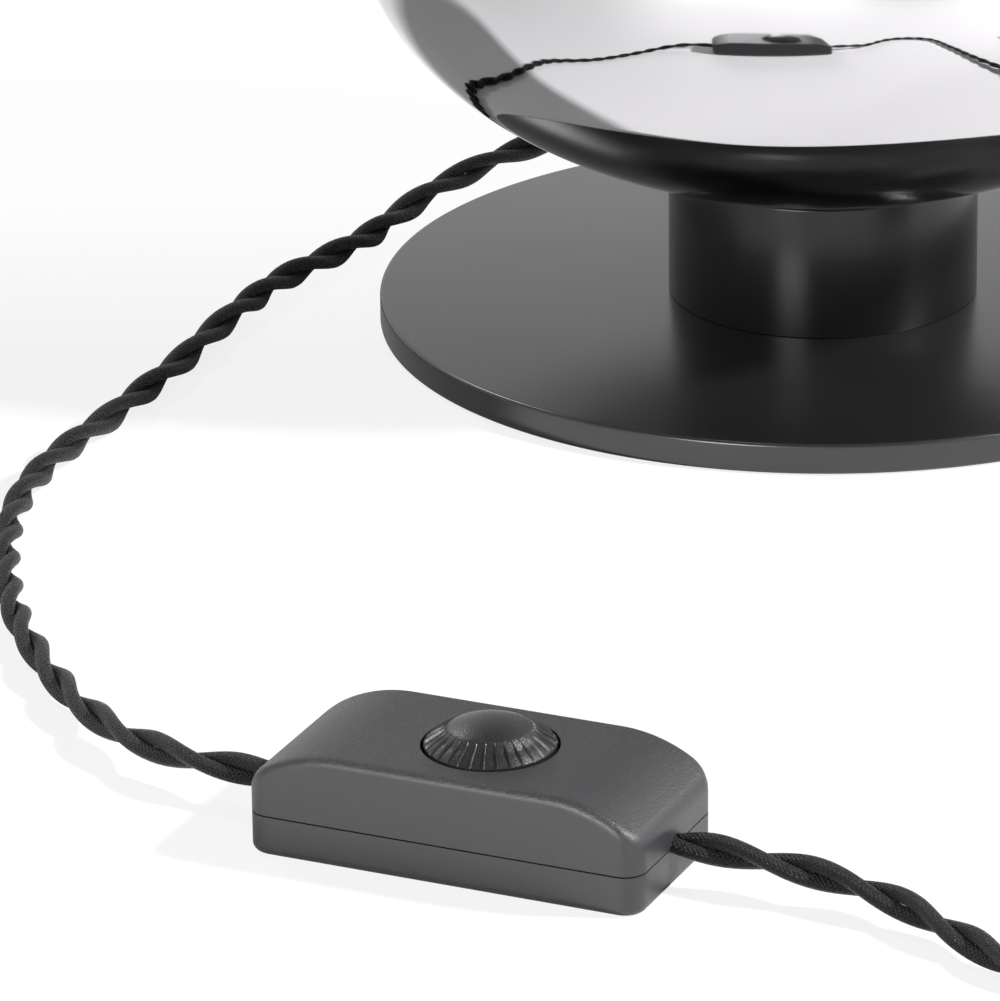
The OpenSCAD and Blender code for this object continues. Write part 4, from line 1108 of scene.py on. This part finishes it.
class LAMP_OT_cords(bpy.types.Operator):
    """Twisted textile cord: lamp to dimmer, and dimmer to plug with its coil"""

    bl_idname = "lamp.cords"
    bl_label = "Cords"

    def execute(self, context):
        sizes = context.scene.lamp_sizes
        textile = braided_textile(context.scene.lamp_finishes.textile)
        half = sizes.casing_length / 2
        seam = sizes.seam_height
        thick = 2 * sizes.strand_diameter
        inside, outside = 0.009, 0.008
        sleeve_tip = SLEEVE_HIGH.y
        gland = (SLEEVE_LOW.z + SLEEVE_HIGH.z) / 2
        first = [Vector((0, sleeve_tip + y, gland)) for y in (-0.022, -0.01, 0.001)]
        first += [self.laid(p, thick) for p in LAMP_ROUTE]
        first += [on_dimmer(x - half, 0, seam) for x in (-outside, 0, inside)]
        lamp_cord, path, length = twisted_pair("cord_to_dimmer", first, LAMP_TURNS, sizes, textile)
        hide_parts("cord_lamp_side")
        second = [on_dimmer(half + x, 0, seam) for x in (-inside, 0, outside)]
        second += [self.laid(p, thick) for p in PLUG_ROUTE]
        second += self.coil(sizes, thick)
        start, count = 89, 100
        turns = [(0, start), (count * sizes.twist_pitch / MM, start - 360 * count)]
        plug_cord, path, length = twisted_pair("cord_to_plug", second, turns, sizes, textile)
        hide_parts("cord_plug_side", "cord_coil")
        return {"FINISHED"}

    def carried(self, pieces, nodes):
        """Objects that go with a cord: new pieces and carried-over nodes"""
        return [bpy.data.objects[name] for name in pieces] + [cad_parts[name] for name in nodes]

    def laid(self, point, thick):
        """A route point, let down where the cord lies on the floor"""
        x, y, z = point
        clear, high, fade = 0.2, 8, 4
        rest = thick / MM / 2 + clear
        slack = max(0.0, min(1.0, (high - z) / fade))
        return Vector((x, y, z + (rest - ROUTE_REST) * slack)) * MM

    def coil(self, sizes, thick):
        """The coil's route: in below, a climbing half turn, out above, then the tail to the plug"""
        middle = Vector(COIL_MIDDLE + (0,)) * MM
        low, high = coil_levels(sizes)
        per_turn, run, climb = 24, 36, 12
        inner = sizes.coil_radius - sizes.coil_step * run / per_turn
        points = []
        for i in range(2 * run + climb + 1):
            angle = math.radians(180 - 360 * i / per_turn)
            if i <= run:
                r = sizes.coil_radius - sizes.coil_step * i / per_turn
            elif i <= run + climb:
                r = inner - sizes.coil_step * (climb / 2 - abs(i - run - climb / 2)) / per_turn
            else:
                r = inner + sizes.coil_step * (i - run - climb) / per_turn
            share = min(1.0, max(0.0, (i - run) / climb))
            z = low + (high - low) * (1 - math.cos(math.pi * share)) / 2
            points.append(middle + Vector((r * math.cos(angle), r * math.sin(angle), z)))
        heading = Vector((0, 1, 0))
        lead = [points[0] - 3 * thick * heading, points[0] - thick * heading]
        axis = (PLUG_LOW.z + PLUG_HIGH.z) / 2
        tail = []
        for away, share in COIL_TAIL:
            tail.append(middle + Vector((sizes.coil_radius, -away * MM, axis + share * (high - axis))))
        return lead + points + tail


class LAMP_OT_stage(bpy.types.Operator):
    """Pale floor, soft light and the camera"""

    bl_idname = "lamp.stage"
    bl_label = "Stage"

    def execute(self, context):
        self.floor(context.scene.lamp_finishes.floor)
        self.world()
        for name, values in SOFTBOXES.items():
            self.lamp(name, *values)
        self.camera()
        return {"FINISHED"}

    def floor(self, colour):
        """Pale floor, nearly white to the camera, and white far off and behind the lamp to mirrors too"""
        bm = bmesh.new()
        bmesh.ops.create_grid(bm, x_segments=1, y_segments=1, size=6.0)
        plane = add_object("floor", mesh_of(bm, "floor"))
        material, tree, shader = start_material("pale_floor")
        set_values(shader, Base_Color=colour, Roughness=0.9, Specular_IOR_Level=0.1)
        place = coordinates(tree, "Object")
        away = add_node(tree, "ShaderNodeVectorMath", place, operation="LENGTH").outputs["Value"]
        back = along_axis(tree, place, "Y")
        far = ramp(tree, away, start=0.7, end=1.8)
        behind = ramp(tree, back, start=0.07, end=0.12, high=FLOOR_BACK_WHITE)
        near = ramp(tree, back, start=-0.02, end=0.08, low=FLOOR_NEAR_WHITE, high=FLOOR_BACK_WHITE)
        ray = add_node(tree, "ShaderNodeLightPath").outputs
        seen = combine(tree, "ADD", ray["Is Camera Ray"], ray["Is Glossy Ray"], clamp=True)
        far_white = combine(tree, "MULTIPLY", combine(tree, "MAXIMUM", far, behind), seen)
        near_white = combine(tree, "MULTIPLY", ray["Is Camera Ray"], near)
        white = combine(tree, "MAXIMUM", far_white, near_white)
        glow = add_node(tree, "ShaderNodeEmission", Color=WHITE, Strength=1.0)
        surface = choose(tree, white, shader.outputs[0], glow.outputs[0])
        tree.links.new(surface, tree.nodes["Material Output"].inputs["Surface"])
        plane.data.materials.append(material)

    def world(self):
        """White to the camera, bright low down in reflections, faint as light"""
        world = bpy.data.worlds.new("white_room")
        bpy.context.scene.world = world
        world.use_nodes = True
        tree = world.node_tree
        faint = tree.nodes["Background"]
        set_values(faint, Color=WHITE, Strength=0.1)
        rise = along_axis(tree, coordinates(tree, "Generated"), "Z")
        fade = ramp(tree, rise, start=0.42, end=0.85, low=0.95, high=0.2)
        ray = add_node(tree, "ShaderNodeLightPath").outputs
        surface = faint.outputs[0]
        for name in ("Is Glossy Ray", "Is Transmission Ray", "Is Camera Ray"):
            white = add_node(tree, "ShaderNodeBackground", Color=WHITE, Strength=1.0)
            if name == "Is Glossy Ray":
                tree.links.new(fade, white.inputs["Strength"])
            surface = choose(tree, ray[name], surface, white.outputs[0])
        tree.links.new(surface, tree.nodes["World Output"].inputs["Surface"])

    def lamp(self, name, place, aim, size, power):
        """A square softbox turned to its aim"""
        data = bpy.data.lights.new(name, "AREA")
        data.shape = "SQUARE"
        data.size = size
        data.energy = power
        item = add_object(name, data)
        item.location = place
        item.rotation_euler = (Vector(aim) - Vector(place)).to_track_quat("-Z", "Y").to_euler()

    def camera(self):
        """A long lens in front of the lamp, sloping down to its foot"""
        data = bpy.data.cameras.new("photo_camera")
        data.lens = 288
        data.sensor_width = 36
        data.sensor_fit = "HORIZONTAL"
        data.clip_end = 50
        item = add_object("photo_camera", data)
        tilt = Matrix.Rotation(math.radians(90 - CAMERA_SLOPE), 4, "X")
        roll = Matrix.Rotation(math.radians(CAMERA_ROLL), 4, "Z")
        item.matrix_world = Matrix.Translation(CAMERA_PLACE) @ tilt @ roll
        bpy.context.scene.camera = item
        bpy.context.scene.view_settings.view_transform = "Standard"


class LAMP_PT_panel(bpy.types.Panel):
    """Lists the lamp's operators and settings"""

    bl_idname = "LAMP_PT_panel"
    bl_label = "Mirrored Globe Lamp"
    bl_space_type = "VIEW_3D"
    bl_region_type = "UI"
    bl_category = "Lamp"

    def draw(self, context):
        for step in STEPS:
            self.layout.operator("lamp." + step)
        for group in (context.scene.lamp_sizes, context.scene.lamp_finishes):
            for name in group.__annotations__:
                self.layout.prop(group, name)


CLASSES = (
    LampSizes, LampFinishes, LAMP_OT_foot, LAMP_OT_globe, LAMP_OT_fittings, LAMP_OT_bulb,
    LAMP_OT_dimmer, LAMP_OT_plug, LAMP_OT_cords, LAMP_OT_stage, LAMP_PT_panel,
)


def register():
    for item in CLASSES:
        bpy.utils.register_class(item)
    bpy.types.Scene.lamp_sizes = PointerProperty(type=LampSizes)
    bpy.types.Scene.lamp_finishes = PointerProperty(type=LampFinishes)


def unregister():
    del bpy.types.Scene.lamp_finishes
    del bpy.types.Scene.lamp_sizes
    for item in reversed(CLASSES):
        bpy.utils.unregister_class(item)


def main():
    register()
    for step in STEPS:
        getattr(bpy.ops.lamp, step)()


if __name__ == "__main__":
    main()
